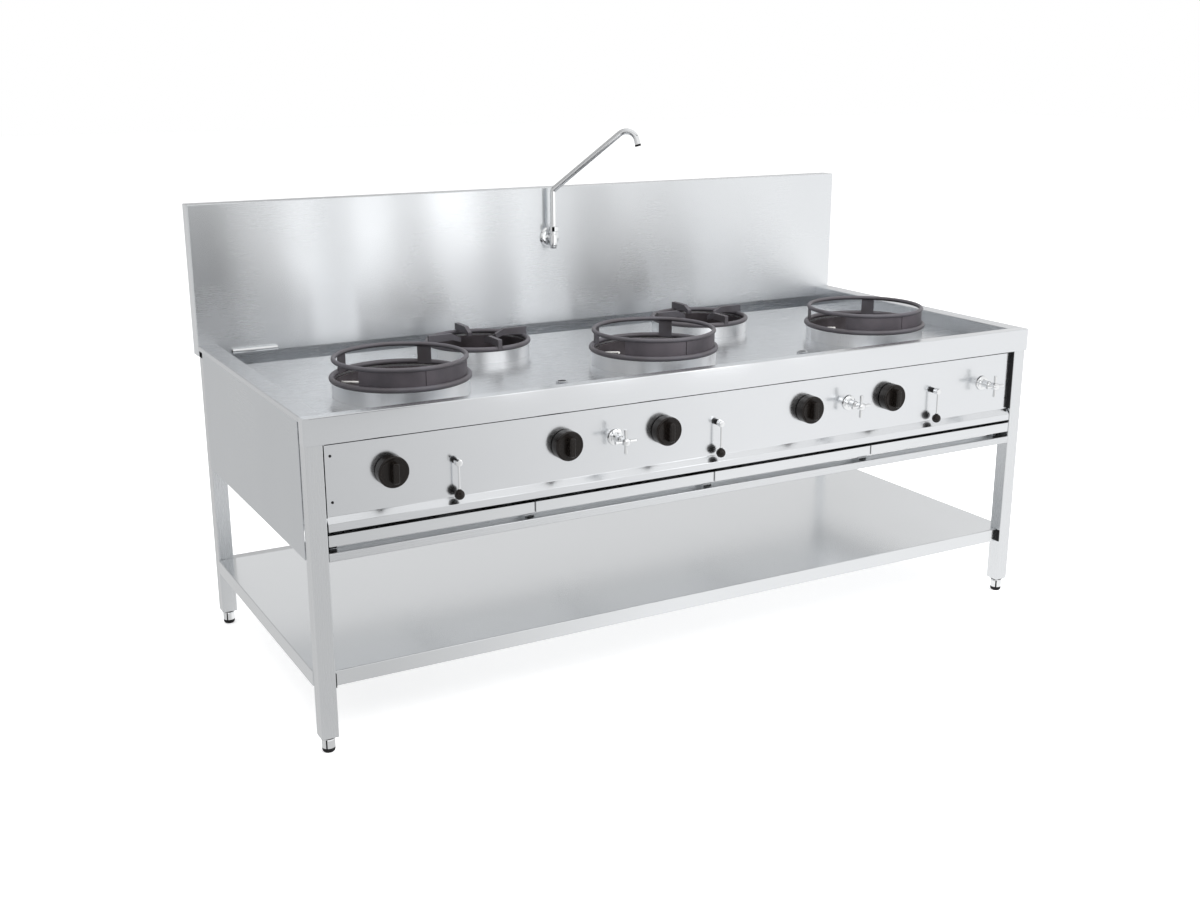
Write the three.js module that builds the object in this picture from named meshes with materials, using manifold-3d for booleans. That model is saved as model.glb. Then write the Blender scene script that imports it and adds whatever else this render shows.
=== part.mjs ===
// Wok range: three wok burners and two pan burners in a stainless steel stand.
// Millimetres, +Z up. X runs along the front, Y runs from the front to the back.
// The pieces are laid out with Y = 0 at the apron's face and Z = 0 on the floor; at the end the
// whole group moves in Y, so that the origin is the centre of the box's bottom.

import * as THREE from 'three';
import { mergeVertices } from 'three/addons/utils/BufferGeometryUtils.js';
import Module from 'manifold-3d';

const wasm = await Module();
wasm.setup();

// ---------- Driving dimensions ----------

const FIT = 0.3; // running and seating gap between two pieces
const SHEET = 1.5; // stainless sheet
const PIPE_GAP = 3; // round a pipe where it goes through a sheet
const WELD = 0.02; // points and slivers smaller than this are closed up

const WIDTH = 2200;
const TOP_DEPTH = 946; // apron's face to splashback's face
const RIM_HEIGHT = 825; // floor to the top of the rim

const APRON_HEIGHT = 65;
const APRON_HEM = 12;
const FRONT_RIM = 32;
const SIDE_RIM = 52;
const SIDE_RIM_LIP = 13;
const DECK_DROP = 44; // rim down to the deck
const DECK_TUCK = 2.5; // deck's margin under the rims' inner walls

const GUTTER_WIDTH = 106;
const GUTTER_DEPTH = 40;
const DRAIN_RADIUS = 18;
const DRAIN_WALL = 2;
const DRAIN_LENGTH = 40;
const DRAIN_INSET = 160; // side of the range in to the drain's axis

const SPLASH_DEPTH = 54;
const SPLASH_RISE = 387; // rim up to the splashback's top
const SPLASH_SKIRT = 31; // rim down to the splashback's bottom edge

const LEG = 42; // square tube
const LEG_WALL = 2;
const LEG_INSET_SIDE = 3;
const LEG_INSET_FRONT = 4;
const REAR_LEG_OVERHANG = 5; // rear leg's back face behind the splashback's face
const LEG_PLUG = 5; // threaded end plate in the leg's bottom

const FOOT_HEIGHT = 41;
const FOOT_RADIUS = 16;
const FOOT_TIP_RADIUS = 11;
const FOOT_STEM_RADIUS = 6;
const FOOT_STEM = 60;
const FOOT_NECK = 3;

const RAIL_DROP = 345; // rim down to the rails' undersides
const RAIL_HEIGHT = 21;
const SIDE_RAIL_WIDTH = 21;

const SHELF_TOP = 203;
const SHELF_LIP = 38;
const SHELF_SETBACK = 20;
const SHELF_MARGIN = 1; // side lips inside the overall width

const PANEL_SETBACK = 17;
const PANEL_FLANGE = 18;
const PANEL_FACE_DROP = 240; // rim down to where the flat face folds forwards
const PANEL_FOLD_HEIGHT = 15;
const PANEL_NOSE = 19;
const PANEL_END_GAP = 2.5;

const TRAY_COUNT = 4;
const TRAY_HEIGHT = 28;
const TRAY_SIDE_GAP = 1.2;
const TRAY_REAR_GAP = 25;
const TRAY_WALL = 1.5;
const RUNNER_WIDTH = 30;
const RUNNER_HEIGHT = 14;
const RUNNER_BEARING = 8; // overlap of a runner's end on its rail
const RUNNER_BAR_DEPTH = 14;
const RUNNER_BAR_SETBACK = 16;
const RUNNER_BAR_HEIGHT = 9;

const STATION_INSET = 356; // side of the range in to the outer stations
const WOK_SETBACK = 146; // apron's face to the front of a wok burner's collar
const WOK_COLLAR_RADIUS = 173;
const WOK_COLLAR_DROP = 7; // rim down to the collar's top
const WOK_CHAMBER_DEPTH = 118;
const COLLAR_WALL = 2;
const COLLAR_SEAT = 45; // inward flange that carries a burner bowl

const WOK_RING_INSET = 0.5; // collar's outside in to the lower ring's centre line
const WOK_RING_BAR = 7; // lower ring's bar radius
const WOK_TOP_RING_INSET = 7;
const WOK_TOP_RING_BAR = 6;
const WOK_RING_RISE = 48; // between the two rings' centre planes
const SHIELD_INSET = 4.5;
const SHIELD_THICKNESS = 3.5;
const SHIELD_HALF_ANGLE = 58;
const SHIELD_JOINT = 0.35; // half the open joint between the two shield plates, in degrees
const POST_ANGLE = 137; // from the front
const POST_SPREAD = 13;

const BOWL_WALL = 10;
const BOWL_FLOOR_RADIUS = 62;
const BOWL_THROAT_RADIUS = 48;
const BOWL_RIM_DROP = 6; // bowl's rim below the collar's top
const CROWN_RADIUS = 38;
const CROWN_THICKNESS = 9;
const CROWN_RISE = 16; // crown's top above the bowl's floor
const JET_RADIUS = 4;
const JET_HEIGHT = 11;
const SPOKE_WIDTH = 8;
const MIXER_RADIUS = 15;
const MIXER_MOUTH_RADIUS = 24;
const MIXER_MOUTH_LENGTH = 26;
const MIXER_DROP = 66; // bowl's floor down to the mixing tube's axis

const PAN_REAR_GAP = 29; // rear of a pan burner's collar to the gutter
const PAN_OFFSET = 4; // outwards from midway between two wok burners
const PAN_COLLAR_RADIUS = 146;
const PAN_COLLAR_DROP = 12;
const PAN_RING_INSET = 2.5;
const PAN_RING_BAR = 7;
const FINGER_WIDTH = 12;
const FINGER_RISE = 26; // above the ring's centre plane
const FINGER_INNER_RADIUS = 55;
const FINGER_BEND_RADIUS = 80;
const FINGER_DIP = 13;
const FINGER_DEPTH = 12;
const PAN_CHAMBER_DEPTH = 97;
const PAN_CAP_RADIUS = 44;
const PAN_CAP_HEIGHT = 12;
const PAN_PORTS = 6;

const PORT_OFFSET = 3; // outwards from the pan burners
const PORT_Y = 142;
const PORT_RADIUS = 15;
const PORT_BORE = 11;
const PORT_HEIGHT = 24;

const GAS_PIPE_RADIUS = 17;
const GAS_PIPE_Y = 95;
const GAS_DROP = 149; // rim down to the gas valves' spindles and the gas pipe
const PIPE_INSET = 100; // side of the range in to the gas and water pipes' ends
const GAS_INLET_INSET = 15; // rear of the range to the gas inlet's end
const VALVE_SIZE = 30;
const VALVE_FRONT = 42;
const SPINDLE_RADIUS = 4;
const FEED_RADIUS = 6;
const INJECTOR_GAP = 6;

const LEVER_DROP = 150;
const WOK_KNOB_OFFSET = -151; // from the station's centre
const LEVER_OFFSET = 12;
const PAN_KNOB_LEAD = 438; // to the left of the next station's centre
const TAP_LEAD = 295;
const LAST_TAP_OFFSET = 200;

const KNOB_RADIUS = 38;
const KNOB_DEPTH = 44; // back of the skirt to the front of the grip
const KNOB_BODY_DEPTH = 27;
const KNOB_EASE = 2;
const KNOB_GAP = 2;
const KNOB_GRIP_WIDTH = 17;
const KNOB_GRIP_LENGTH = 50;
const KNOB_GRIP_EASE = 5;
const KNOB_SOCKET = 22;

const LEVER_REACH = 79; // spindle to the ball's centre
const LEVER_BALL_RADIUS = 12.5;
const LEVER_ROD_RADIUS = 2.6;
const LEVER_HUB_RADIUS = 9;
const LEVER_HUB_DEPTH = 16;
const LEVER_GAP = 12;
const LEVER_SOCKET = 10;

const TAP_DROP = 150;
const TAP_BODY_RADIUS = 13;
const TAP_FLANGE_RADIUS = 22;
const TAP_FLANGE = 5;
const TAP_BONNET = 34;
const TAP_BONNET_RADIUS = 10.5;
const TAP_SPINDLE = 14;
const HANDLE_HUB_RADIUS = 11;
const HANDLE_HUB_DEPTH = 22;
const HANDLE_ARM = 31.2; // axis to an arm's tip
const HANDLE_ARM_RADIUS = 3.6;
const HANDLE_TIP_RADIUS = 4.8;
const HANDLE_SOCKET = 10;
const WATER_PIPE_RADIUS = 10;
const WATER_PIPE_Y = 48;
const WATER_PIPE_DROP = 109;
const WATER_BEND = 24;
const WATER_INLET = 50; // inlet's length below the pipe

const FAUCET_RISE = 235; // rim up to the faucet's axis
const FAUCET_STANDOFF = 28; // splashback's face to the spout's axis
const ROSETTE_RADIUS = 33;
const ROSETTE_DEPTH = 8;
const FAUCET_BODY_RADIUS = 12.5;
const FAUCET_STUB_RADIUS = 10;
const FAUCET_STUB = 20;
const FAUCET_CAP = 26;
const SHANK_RADIUS = 8;
const SHANK_LENGTH = 14;
const NUT_RADIUS = 14.5;
const NUT_HEIGHT = 16;
const SPOUT_RADIUS = 9;
const SPOUT_BORE = 7;
const SPOUT_RISE = 126; // riser's length, from its foot to the bend
const SPOUT_ARM = 265;
const SPOUT_ARM_ANGLE = 39.5;
const SPOUT_TIP_BEND = 32;
const SPOUT_TIP_ANGLE = 76;
const SPOUT_TIP = 20;
const SPOUT_SWING = -35; // arm's direction seen from above, from +X

const RINSE_RADIUS = 7;
const RINSE_BORE = 5.2;
const RINSE_LENGTH = 128;
const RINSE_INSET = 157; // side of the range in to the rinse pipe's middle
const RINSE_DROP = 24;
const RINSE_STUB_RADIUS = 4.5;

// ---------- Places that follow from them ----------

const SIDES = [-1, 1];
const HALF = WIDTH / 2;
const DECK_Z = RIM_HEIGHT - DECK_DROP;
const APRON_BOTTOM = RIM_HEIGHT - APRON_HEIGHT;
const BASIN_HALF = HALF - SIDE_RIM;
const GUTTER_FRONT = TOP_DEPTH - GUTTER_WIDTH;
const GUTTER_FLOOR = DECK_Z - GUTTER_DEPTH;
const SPLASH_BOTTOM = RIM_HEIGHT - SPLASH_SKIRT;
const SPLASH_TOP = RIM_HEIGHT + SPLASH_RISE;
const BACK = TOP_DEPTH + SPLASH_DEPTH;
const DRAIN_X = DRAIN_INSET - HALF;

const LEG_OUTER = HALF - LEG_INSET_SIDE;
const LEG_INNER = LEG_OUTER - LEG;
const FRONT_LEG_Y = LEG_INSET_FRONT;
const REAR_LEG_Y = TOP_DEPTH + REAR_LEG_OVERHANG - LEG;
const BAY_FRONT = FRONT_LEG_Y + LEG + FIT; // between the front and the rear legs
const BAY_REAR = REAR_LEG_Y - FIT;
const BAY_HALF = LEG_INNER - FIT;

const RAIL_BOTTOM = RIM_HEIGHT - RAIL_DROP;
const RAIL_TOP = RAIL_BOTTOM + RAIL_HEIGHT;
const RUNNER_TOP = RAIL_TOP + FIT + RUNNER_HEIGHT;
const TRAY_BOTTOM = RUNNER_TOP + FIT;
const TRAY_PITCH = (2 * LEG_INNER) / TRAY_COUNT;
const TRAY_WIDTH = TRAY_PITCH - 2 * TRAY_SIDE_GAP;
const TRAY_DEPTH = BAY_REAR - LEG_INSET_FRONT - TRAY_REAR_GAP;

const PANEL_FOLD = RIM_HEIGHT - PANEL_FACE_DROP; // height where the flat face folds forwards
const NOSE_TOP = PANEL_FOLD - PANEL_FOLD_HEIGHT;
const NOSE_BOTTOM = NOSE_TOP - PANEL_NOSE;

const STATION_PITCH = HALF - STATION_INSET;
const WOK_X = [-STATION_PITCH, 0, STATION_PITCH];
const PAN_X = SIDES.map((side) => side * (STATION_PITCH / 2 + PAN_OFFSET));
const WOK_Y = WOK_SETBACK + WOK_COLLAR_RADIUS;
const PAN_Y = GUTTER_FRONT - PAN_REAR_GAP - PAN_COLLAR_RADIUS;
const PORT_X = PAN_X[1] + PORT_OFFSET;
const WOK_RING_RADIUS = WOK_COLLAR_RADIUS - WOK_RING_INSET;
const WOK_TOP_RING_RADIUS = WOK_COLLAR_RADIUS - WOK_TOP_RING_INSET;
const SHIELD_RADIUS = WOK_COLLAR_RADIUS - SHIELD_INSET;
const PAN_RING_RADIUS = PAN_COLLAR_RADIUS - PAN_RING_INSET;
const WOK_COLLAR_TOP = RIM_HEIGHT - WOK_COLLAR_DROP;
const WOK_CHAMBER_BOTTOM = WOK_COLLAR_TOP - WOK_CHAMBER_DEPTH;
const PAN_COLLAR_TOP = RIM_HEIGHT - PAN_COLLAR_DROP;
const PAN_CHAMBER_BOTTOM = PAN_COLLAR_TOP - PAN_CHAMBER_DEPTH;

const GAS_Z = RIM_HEIGHT - GAS_DROP;
const LEVER_Z = RIM_HEIGHT - LEVER_DROP;
const TAP_Z = RIM_HEIGHT - TAP_DROP;
const WATER_PIPE_Z = RIM_HEIGHT - WATER_PIPE_DROP;
const FAUCET_Z = RIM_HEIGHT + FAUCET_RISE;
const RINSE_Z = RIM_HEIGHT - RINSE_DROP;
const PIPE_REACH = HALF - PIPE_INSET;
const GAS_INLET_Y = BACK - GAS_INLET_INSET;
const RINSE_X = RINSE_INSET - HALF;
const WOK_KNOB_X = WOK_X.map((x) => x + WOK_KNOB_OFFSET);
const PAN_KNOB_X = WOK_X.slice(1).map((x) => x - PAN_KNOB_LEAD);
const KNOB_X = [WOK_KNOB_X[0], PAN_KNOB_X[0], WOK_KNOB_X[1], PAN_KNOB_X[1], WOK_KNOB_X[2]];
const LEVER_X = WOK_X.map((x) => x + LEVER_OFFSET);
const TAP_X = [WOK_X[1] - TAP_LEAD, WOK_X[2] - TAP_LEAD, WOK_X[2] + LAST_TAP_OFFSET];

const KNOB_BACK_Y = PANEL_SETBACK - KNOB_GAP;
const LEVER_BACK_Y = PANEL_SETBACK - LEVER_GAP;
const TAP_FACE_Y = PANEL_SETBACK - FIT - TAP_FLANGE;
const TAP_END_Y = TAP_FACE_Y - TAP_BONNET;
const HANDLE_BACK_Y = TAP_END_Y - TAP_SPINDLE + HANDLE_SOCKET;
const FRONT = HANDLE_BACK_Y - HANDLE_HUB_DEPTH; // the foremost point of the range
const SPOUT_Y = TOP_DEPTH - FAUCET_STANDOFF;
const STUB_TOP = FAUCET_Z + FAUCET_STUB;

const ROUND = 16; // facets of a large turned piece
const SMALL_ROUND = 8;
const SOCKET_RADIUS = (SPINDLE_RADIUS + FIT) / Math.cos(Math.PI / SMALL_ROUND); // clears a turning spindle

// ---------- Solids ----------

/** A closed solid from any three.js geometry, with its faces turned outwards. */
function solid(geometry) {
  const bare = new THREE.BufferGeometry();
  bare.setAttribute('position', geometry.getAttribute('position').clone());
  bare.setIndex(geometry.getIndex());
  const merged = mergeVertices(bare, 1e-3);
  const position = merged.getAttribute('position');
  const index = merged.getIndex();
  const corners = [new THREE.Vector3(), new THREE.Vector3(), new THREE.Vector3()];
  const triangles = [];
  let volume = 0;
  for (let i = 0; i < index.count; i += 3) {
    const [a, b, c] = [index.getX(i), index.getX(i + 1), index.getX(i + 2)];
    if (a === b || b === c || c === a) continue;
    triangles.push([a, b, c]);
    [a, b, c].forEach((corner, k) => corners[k].fromBufferAttribute(position, corner));
    volume += corners[0].dot(corners[1].clone().cross(corners[2]));
  }
  const ordered = volume < 0 ? triangles.map(([a, b, c]) => [a, c, b]) : triangles;
  return new wasm.Manifold(new wasm.Mesh({
    numProp: 3,
    vertProperties: new Float32Array(position.array),
    triVerts: new Uint32Array(ordered.flat()),
  }));
}

/** All the solids joined into one. */
function join(...solids) {
  return solids.flat().reduce((whole, piece) => whole.add(piece));
}

/** The first solid without the others. */
function cut(whole, ...tools) {
  return tools.flat().reduce((rest, tool) => rest.subtract(tool), whole);
}

/** A block between two corners. */
function block([x0, y0, z0], [x1, y1, z1]) {
  const geometry = new THREE.BoxGeometry(x1 - x0, y1 - y0, z1 - z0);
  return solid(geometry.translate((x0 + x1) / 2, (y0 + y1) / 2, (z0 + z1) / 2));
}

/** A round bar from one point to another, with an optional second radius at its end. */
function bar(from, to, radius, endRadius = radius, facets = SMALL_ROUND) {
  const start = new THREE.Vector3(...from);
  const way = new THREE.Vector3(...to).sub(start);
  const geometry = new THREE.CylinderGeometry(endRadius, radius, way.length(), facets);
  geometry.translate(0, way.length() / 2, 0);
  const turn = new THREE.Quaternion().setFromUnitVectors(THREE.Object3D.DEFAULT_UP, way.normalize());
  return solid(geometry.applyQuaternion(turn).translate(...from));
}

/** A turned piece: [radius, height] points of its section, round the Z axis. */
function turned(section, facets = ROUND) {
  const points = section.map(([radius, height]) => new THREE.Vector2(radius, height));
  const onAxis = section[0][0] === 0 && section.at(-1)[0] === 0;
  if (!onAxis) points.push(points[0].clone());
  return solid(new THREE.LatheGeometry(points, facets).rotateX(Math.PI / 2));
}

/** A turned piece whose axis points forwards, along -Y, from the given height. */
function turnedForwards(section, height = 0, facets = SMALL_ROUND) {
  const points = section.map(([radius, reach]) => new THREE.Vector2(radius, reach));
  const onAxis = section[0][0] === 0 && section.at(-1)[0] === 0;
  if (!onAxis) points.push(points[0].clone());
  return solid(new THREE.LatheGeometry(points, facets).rotateX(Math.PI).translate(0, 0, height));
}

function shapeOf(points) {
  return new THREE.Shape(points.map(([x, y]) => new THREE.Vector2(x, y)));
}

/** A bar of constant section along X: its [y, z] points, from x0 to x1. */
function sectionAlongX(points, x0, x1) {
  const geometry = new THREE.ExtrudeGeometry(shapeOf(points), { depth: x1 - x0, bevelEnabled: false });
  const turn = new THREE.Matrix4().makeBasis(
    new THREE.Vector3(0, 1, 0),
    new THREE.Vector3(0, 0, 1),
    new THREE.Vector3(1, 0, 0),
  );
  return solid(geometry.applyMatrix4(turn).translate(x0, 0, 0));
}

/** A plate seen from above, between two heights, with round holes [x, y, radius]. */
function plate(points, z0, z1, holes = []) {
  const shape = shapeOf(points);
  for (const [x, y, radius] of holes) {
    const hole = new THREE.Path();
    hole.absarc(x, y, radius, 0, 2 * Math.PI, true);
    shape.holes.push(hole);
  }
  const options = { depth: z1 - z0, bevelEnabled: false, curveSegments: ROUND / 2 };
  return solid(new THREE.ExtrudeGeometry(shape, options).translate(0, 0, z0));
}

function rectangle(x0, y0, x1, y1) {
  return [[x0, y0], [x1, y0], [x1, y1], [x0, y1]];
}

/** A ring bent from round bar, in a horizontal plane, resting on a flat of its six-sided section. */
function ring(radius, barRadius, height, facets = ROUND) {
  return solid(new THREE.TorusGeometry(radius, barRadius, 6, facets).translate(0, 0, height));
}

/** Height of a ring's centre plane over what it rests on. */
function ringSeat(barRadius) {
  return barRadius * Math.cos(Math.PI / 6) + FIT;
}

/** A curved upright plate between two angles, in degrees from +X. */
function curvedPlate(radius, thickness, from, to, z0, z1) {
  const shape = new THREE.Shape();
  const [start, end] = [THREE.MathUtils.degToRad(from), THREE.MathUtils.degToRad(to)];
  shape.absarc(0, 0, radius, start, end, false);
  shape.absarc(0, 0, radius - thickness, end, start, true);
  const curveSegments = Math.max(1, Math.round(Math.abs(to - from) / 18));
  const options = { depth: z1 - z0, bevelEnabled: false, curveSegments };
  return solid(new THREE.ExtrudeGeometry(shape, options).translate(0, 0, z0));
}

/** The way of a bent pipe: straight runs between corners, with one bend radius or one each. */
class PipeRoute extends THREE.Curve {
  constructor(corners, bendRadius, bendSteps = 4) {
    super();
    const knots = corners.map((corner) => new THREE.Vector3(...corner));
    const radii = [bendRadius].flat();
    this.points = [knots[0]];
    for (let i = 1; i < knots.length - 1; i += 1) {
      const radius = radii[Math.min(i, radii.length) - 1];
      this.points.push(...PipeRoute.bend(knots[i - 1], knots[i], knots[i + 1], radius, bendSteps));
    }
    this.points.push(knots.at(-1));
  }

  static bend(before, corner, after, radius, steps) {
    const back = before.clone().sub(corner).normalize();
    const on = after.clone().sub(corner).normalize();
    const half = back.angleTo(on) / 2;
    const reach = radius / Math.tan(half);
    const middle = back.clone().add(on).normalize();
    const centre = corner.clone().addScaledVector(middle, radius / Math.sin(half));
    const start = corner.clone().addScaledVector(back, reach).sub(centre);
    const axis = back.clone().cross(on).negate().normalize();
    const points = [];
    for (let i = 0; i <= steps; i += 1) {
      const angle = ((Math.PI - 2 * half) * i) / steps;
      points.push(start.clone().applyAxisAngle(axis, angle).add(centre));
    }
    return points;
  }

  get steps() {
    return this.points.length - 1;
  }

  getPoint(t) {
    const place = Math.min(t * this.steps, this.steps);
    const first = Math.min(Math.floor(place), this.steps - 1);
    return this.points[first].clone().lerp(this.points[first + 1], place - first);
  }

  getPointAt(t) {
    return this.getPoint(t);
  }

  getTangentAt(t) {
    const knot = Math.round(t * this.steps);
    const before = this.points[Math.max(knot - 1, 0)];
    const after = this.points[Math.min(knot + 1, this.steps)];
    const here = this.points[knot];
    const arriving = knot > 0 ? here.clone().sub(before).normalize() : new THREE.Vector3();
    const leaving = knot < this.steps ? after.clone().sub(here).normalize() : new THREE.Vector3();
    return arriving.add(leaving).normalize();
  }
}

/** A solid round pipe along a route. */
function pipe(corners, radius, bendRadius, facets = 10, bendSteps = 4) {
  const route = new PipeRoute(corners, bendRadius, bendSteps);
  const section = new THREE.Shape();
  section.absarc(0, 0, radius, 0, 2 * Math.PI, false);
  const options = { steps: route.steps, extrudePath: route, curveSegments: facets / 2 };
  return solid(new THREE.ExtrudeGeometry(section, options));
}

// ---------- Finishes ----------

function finish(color, roughness, metalness) {
  return new THREE.MeshStandardMaterial({ color, roughness, metalness });
}

const brushedSteel = finish('#d9dcdf', 0.38, 1);
const legSteel = finish('#cfd3d6', 0.42, 1);
const chrome = finish('#eceef0', 0.08, 1);
const castIron = finish('#4a4549', 0.7, 0.6);
const ringSteel = finish('#85858a', 0.5, 0.8);
const brass = finish('#b9995a', 0.35, 1);
const blackPlastic = finish('#241f1d', 0.45, 0);

// ---------- The scene graph ----------

const range = new THREE.Group();

/** Welds points that lie within WELD of each other and drops the triangles that this closes. */
function welded({ vertProperties, triVerts }) {
  const points = [];
  const place = [];
  for (let i = 0; i < vertProperties.length; i += 3) {
    const point = new THREE.Vector3().fromArray(vertProperties, i);
    const found = points.findIndex((other) => other.distanceTo(point) < WELD);
    place.push(found < 0 ? points.push(point) - 1 : found);
  }
  const triangles = [];
  for (let i = 0; i < triVerts.length; i += 3) {
    const [a, b, c] = [place[triVerts[i]], place[triVerts[i + 1]], place[triVerts[i + 2]]];
    if (a !== b && b !== c && c !== a) triangles.push([a, b, c]);
  }
  return { points, triangles };
}

/** The triangle turned so that its longest edge comes first, and its height over that edge. */
function flatness(points, [a, b, c]) {
  const [p, q, r] = [points[a], points[b], points[c]];
  const edges = [[a, b, c, p.distanceTo(q)], [b, c, a, q.distanceTo(r)], [c, a, b, r.distanceTo(p)]];
  const [first, second, apex, longest] = edges.sort((e, f) => f[3] - e[3])[0];
  const doubleArea = q.clone().sub(p).cross(r.clone().sub(p)).length();
  return { turned: [first, second, apex], height: doubleArea / longest };
}

/** Takes out slivers left by joins of flush faces: the neighbour over the long edge is split. */
function withoutSlivers({ points, triangles }) {
  let kept = triangles;
  for (let pass = 0; pass < triangles.length; pass += 1) {
    const thin = kept.find((triangle) => flatness(points, triangle).height < WELD);
    if (!thin) break;
    const [a, b, c] = flatness(points, thin).turned;
    const next = kept.find((other) => other !== thin && other.some((v, k) => v === b && other[(k + 1) % 3] === a));
    const d = next.find((v) => v !== a && v !== b);
    kept = kept.filter((other) => other !== thin && other !== next);
    if (d !== c) kept.push([b, c, d], [c, a, d]);
  }
  return { points, triangles: kept };
}

/** Adds one named piece to the range. */
function add(name, piece, material, place = [0, 0, 0], parent = range) {
  const { points, triangles } = withoutSlivers(welded(piece.getMesh()));
  const geometry = new THREE.BufferGeometry().setFromPoints(points);
  geometry.setIndex(triangles.flat());
  geometry.computeVertexNormals();
  const mesh = new THREE.Mesh(geometry, material);
  mesh.name = name;
  mesh.position.set(...place);
  parent.add(mesh);
  return mesh;
}

// ---------- Worktop: apron, side rims, deck and gutter ----------

/** Front rim: apron with its hem, the rim's flat top and the basin's front wall. */
function frontApron() {
  const pieces = [
    block([-HALF, 0, RIM_HEIGHT - SHEET], [HALF, FRONT_RIM, RIM_HEIGHT]),
    block([-HALF, 0, APRON_BOTTOM], [HALF, SHEET, RIM_HEIGHT]),
    block([-BAY_HALF, 0, APRON_BOTTOM], [BAY_HALF, APRON_HEM, APRON_BOTTOM + SHEET]),
    block([-BASIN_HALF, FRONT_RIM - SHEET, DECK_Z + FIT], [BASIN_HALF, FRONT_RIM, RIM_HEIGHT]),
  ];
  for (const side of SIDES) {
    const [inner, outer] = [side * (HALF - SHEET), side * HALF].sort((a, b) => a - b);
    pieces.push(block([inner, 0, APRON_BOTTOM], [outer, FRONT_RIM, RIM_HEIGHT]));
  }
  return join(pieces);
}

/** One side's rim: a lip outside, the flat top and the basin's wall inside. */
function sideRim(side) {
  const [front, rear] = [FRONT_RIM + FIT, TOP_DEPTH - FIT];
  const span = (a, b) => [side * a, side * b].sort((c, d) => c - d);
  const [topFrom, topTo] = span(BASIN_HALF, HALF);
  const [lipFrom, lipTo] = span(HALF - SHEET, HALF);
  const [wallFrom, wallTo] = span(BASIN_HALF, BASIN_HALF + SHEET);
  return join(
    block([topFrom, front, RIM_HEIGHT - SHEET], [topTo, rear, RIM_HEIGHT]),
    block([lipFrom, front, RIM_HEIGHT - SIDE_RIM_LIP], [lipTo, rear, RIM_HEIGHT]),
    block([wallFrom, front, DECK_Z + FIT], [wallTo, rear, RIM_HEIGHT]),
  );
}

/** The flat deck with its burner holes and two raised ports. */
function deckPlate() {
  const reach = BASIN_HALF + SHEET + DECK_TUCK;
  const outline = rectangle(-reach, FRONT_RIM - SHEET - DECK_TUCK, reach, GUTTER_FRONT - FIT);
  const woks = WOK_X.map((x) => [x, WOK_Y, WOK_COLLAR_RADIUS + FIT]);
  const pans = PAN_X.map((x) => [x, PAN_Y, PAN_COLLAR_RADIUS + FIT]);
  const sheet = plate(outline, DECK_Z - SHEET, DECK_Z, [...woks, ...pans]);
  const ports = SIDES.map((side) => bar(
    [side * PORT_X, PORT_Y, DECK_Z - SHEET],
    [side * PORT_X, PORT_Y, DECK_Z + PORT_HEIGHT],
    PORT_RADIUS,
  ));
  const bores = SIDES.map((side) => bar(
    [side * PORT_X, PORT_Y, DECK_Z - 2 * SHEET],
    [side * PORT_X, PORT_Y, DECK_Z + PORT_HEIGHT + SHEET],
    PORT_BORE,
  ));
  return cut(join(sheet, ports), bores);
}

/** The trough behind the deck, with a drain spigot under its left end. */
function rearGutter() {
  const reach = BASIN_HALF + SHEET;
  const rear = TOP_DEPTH + SHEET;
  const floor = GUTTER_FLOOR - SHEET;
  const drainY = TOP_DEPTH - GUTTER_WIDTH / 2;
  const wallTop = SPLASH_BOTTOM - FIT;
  const trough = join(
    block([-reach, GUTTER_FRONT, floor], [reach, rear, GUTTER_FLOOR]),
    block([-reach, GUTTER_FRONT, floor], [reach, GUTTER_FRONT + SHEET, DECK_Z]),
    block([-reach, TOP_DEPTH, floor], [reach, rear, wallTop]),
    block([-reach, GUTTER_FRONT, floor], [-BASIN_HALF, rear, DECK_Z]),
    block([BASIN_HALF, GUTTER_FRONT, floor], [reach, rear, DECK_Z]),
    bar([DRAIN_X, drainY, floor - DRAIN_LENGTH], [DRAIN_X, drainY, floor + SHEET / 2],
      DRAIN_RADIUS + DRAIN_WALL),
  );
  const bore = bar(
    [DRAIN_X, drainY, floor - DRAIN_LENGTH - SHEET],
    [DRAIN_X, drainY, GUTTER_FLOOR + SHEET],
    DRAIN_RADIUS,
  );
  return cut(trough, bore);
}

add('front_apron', frontApron(), brushedSteel);
add('side_rim_left', sideRim(-1), brushedSteel);
add('side_rim_right', sideRim(1), brushedSteel);
add('deck_plate', deckPlate(), brushedSteel);
add('rear_gutter', rearGutter(), brushedSteel);

// ---------- Splashback ----------

/** A folded box, open below, with holes for the faucet's shank and the rinse pipe's stub. */
function splashback() {
  const outer = block([-HALF, TOP_DEPTH, SPLASH_BOTTOM], [HALF, BACK, SPLASH_TOP]);
  const inner = block(
    [-HALF + SHEET, TOP_DEPTH + SHEET, SPLASH_BOTTOM - SHEET],
    [HALF - SHEET, BACK - SHEET, SPLASH_TOP - SHEET],
  );
  const middle = TOP_DEPTH + SPLASH_DEPTH / 2;
  const stubX = RINSE_X + RINSE_LENGTH / 2 - 2 * RINSE_RADIUS;
  return cut(
    outer,
    inner,
    bar([0, TOP_DEPTH - SHEET, FAUCET_Z], [0, middle, FAUCET_Z], SHANK_RADIUS + FIT),
    bar([stubX, TOP_DEPTH - SHEET, RINSE_Z], [stubX, middle, RINSE_Z], RINSE_STUB_RADIUS + FIT),
  );
}

add('splashback', splashback(), brushedSteel);

// ---------- Stand: legs, feet, rails, shelf and cladding ----------

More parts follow.
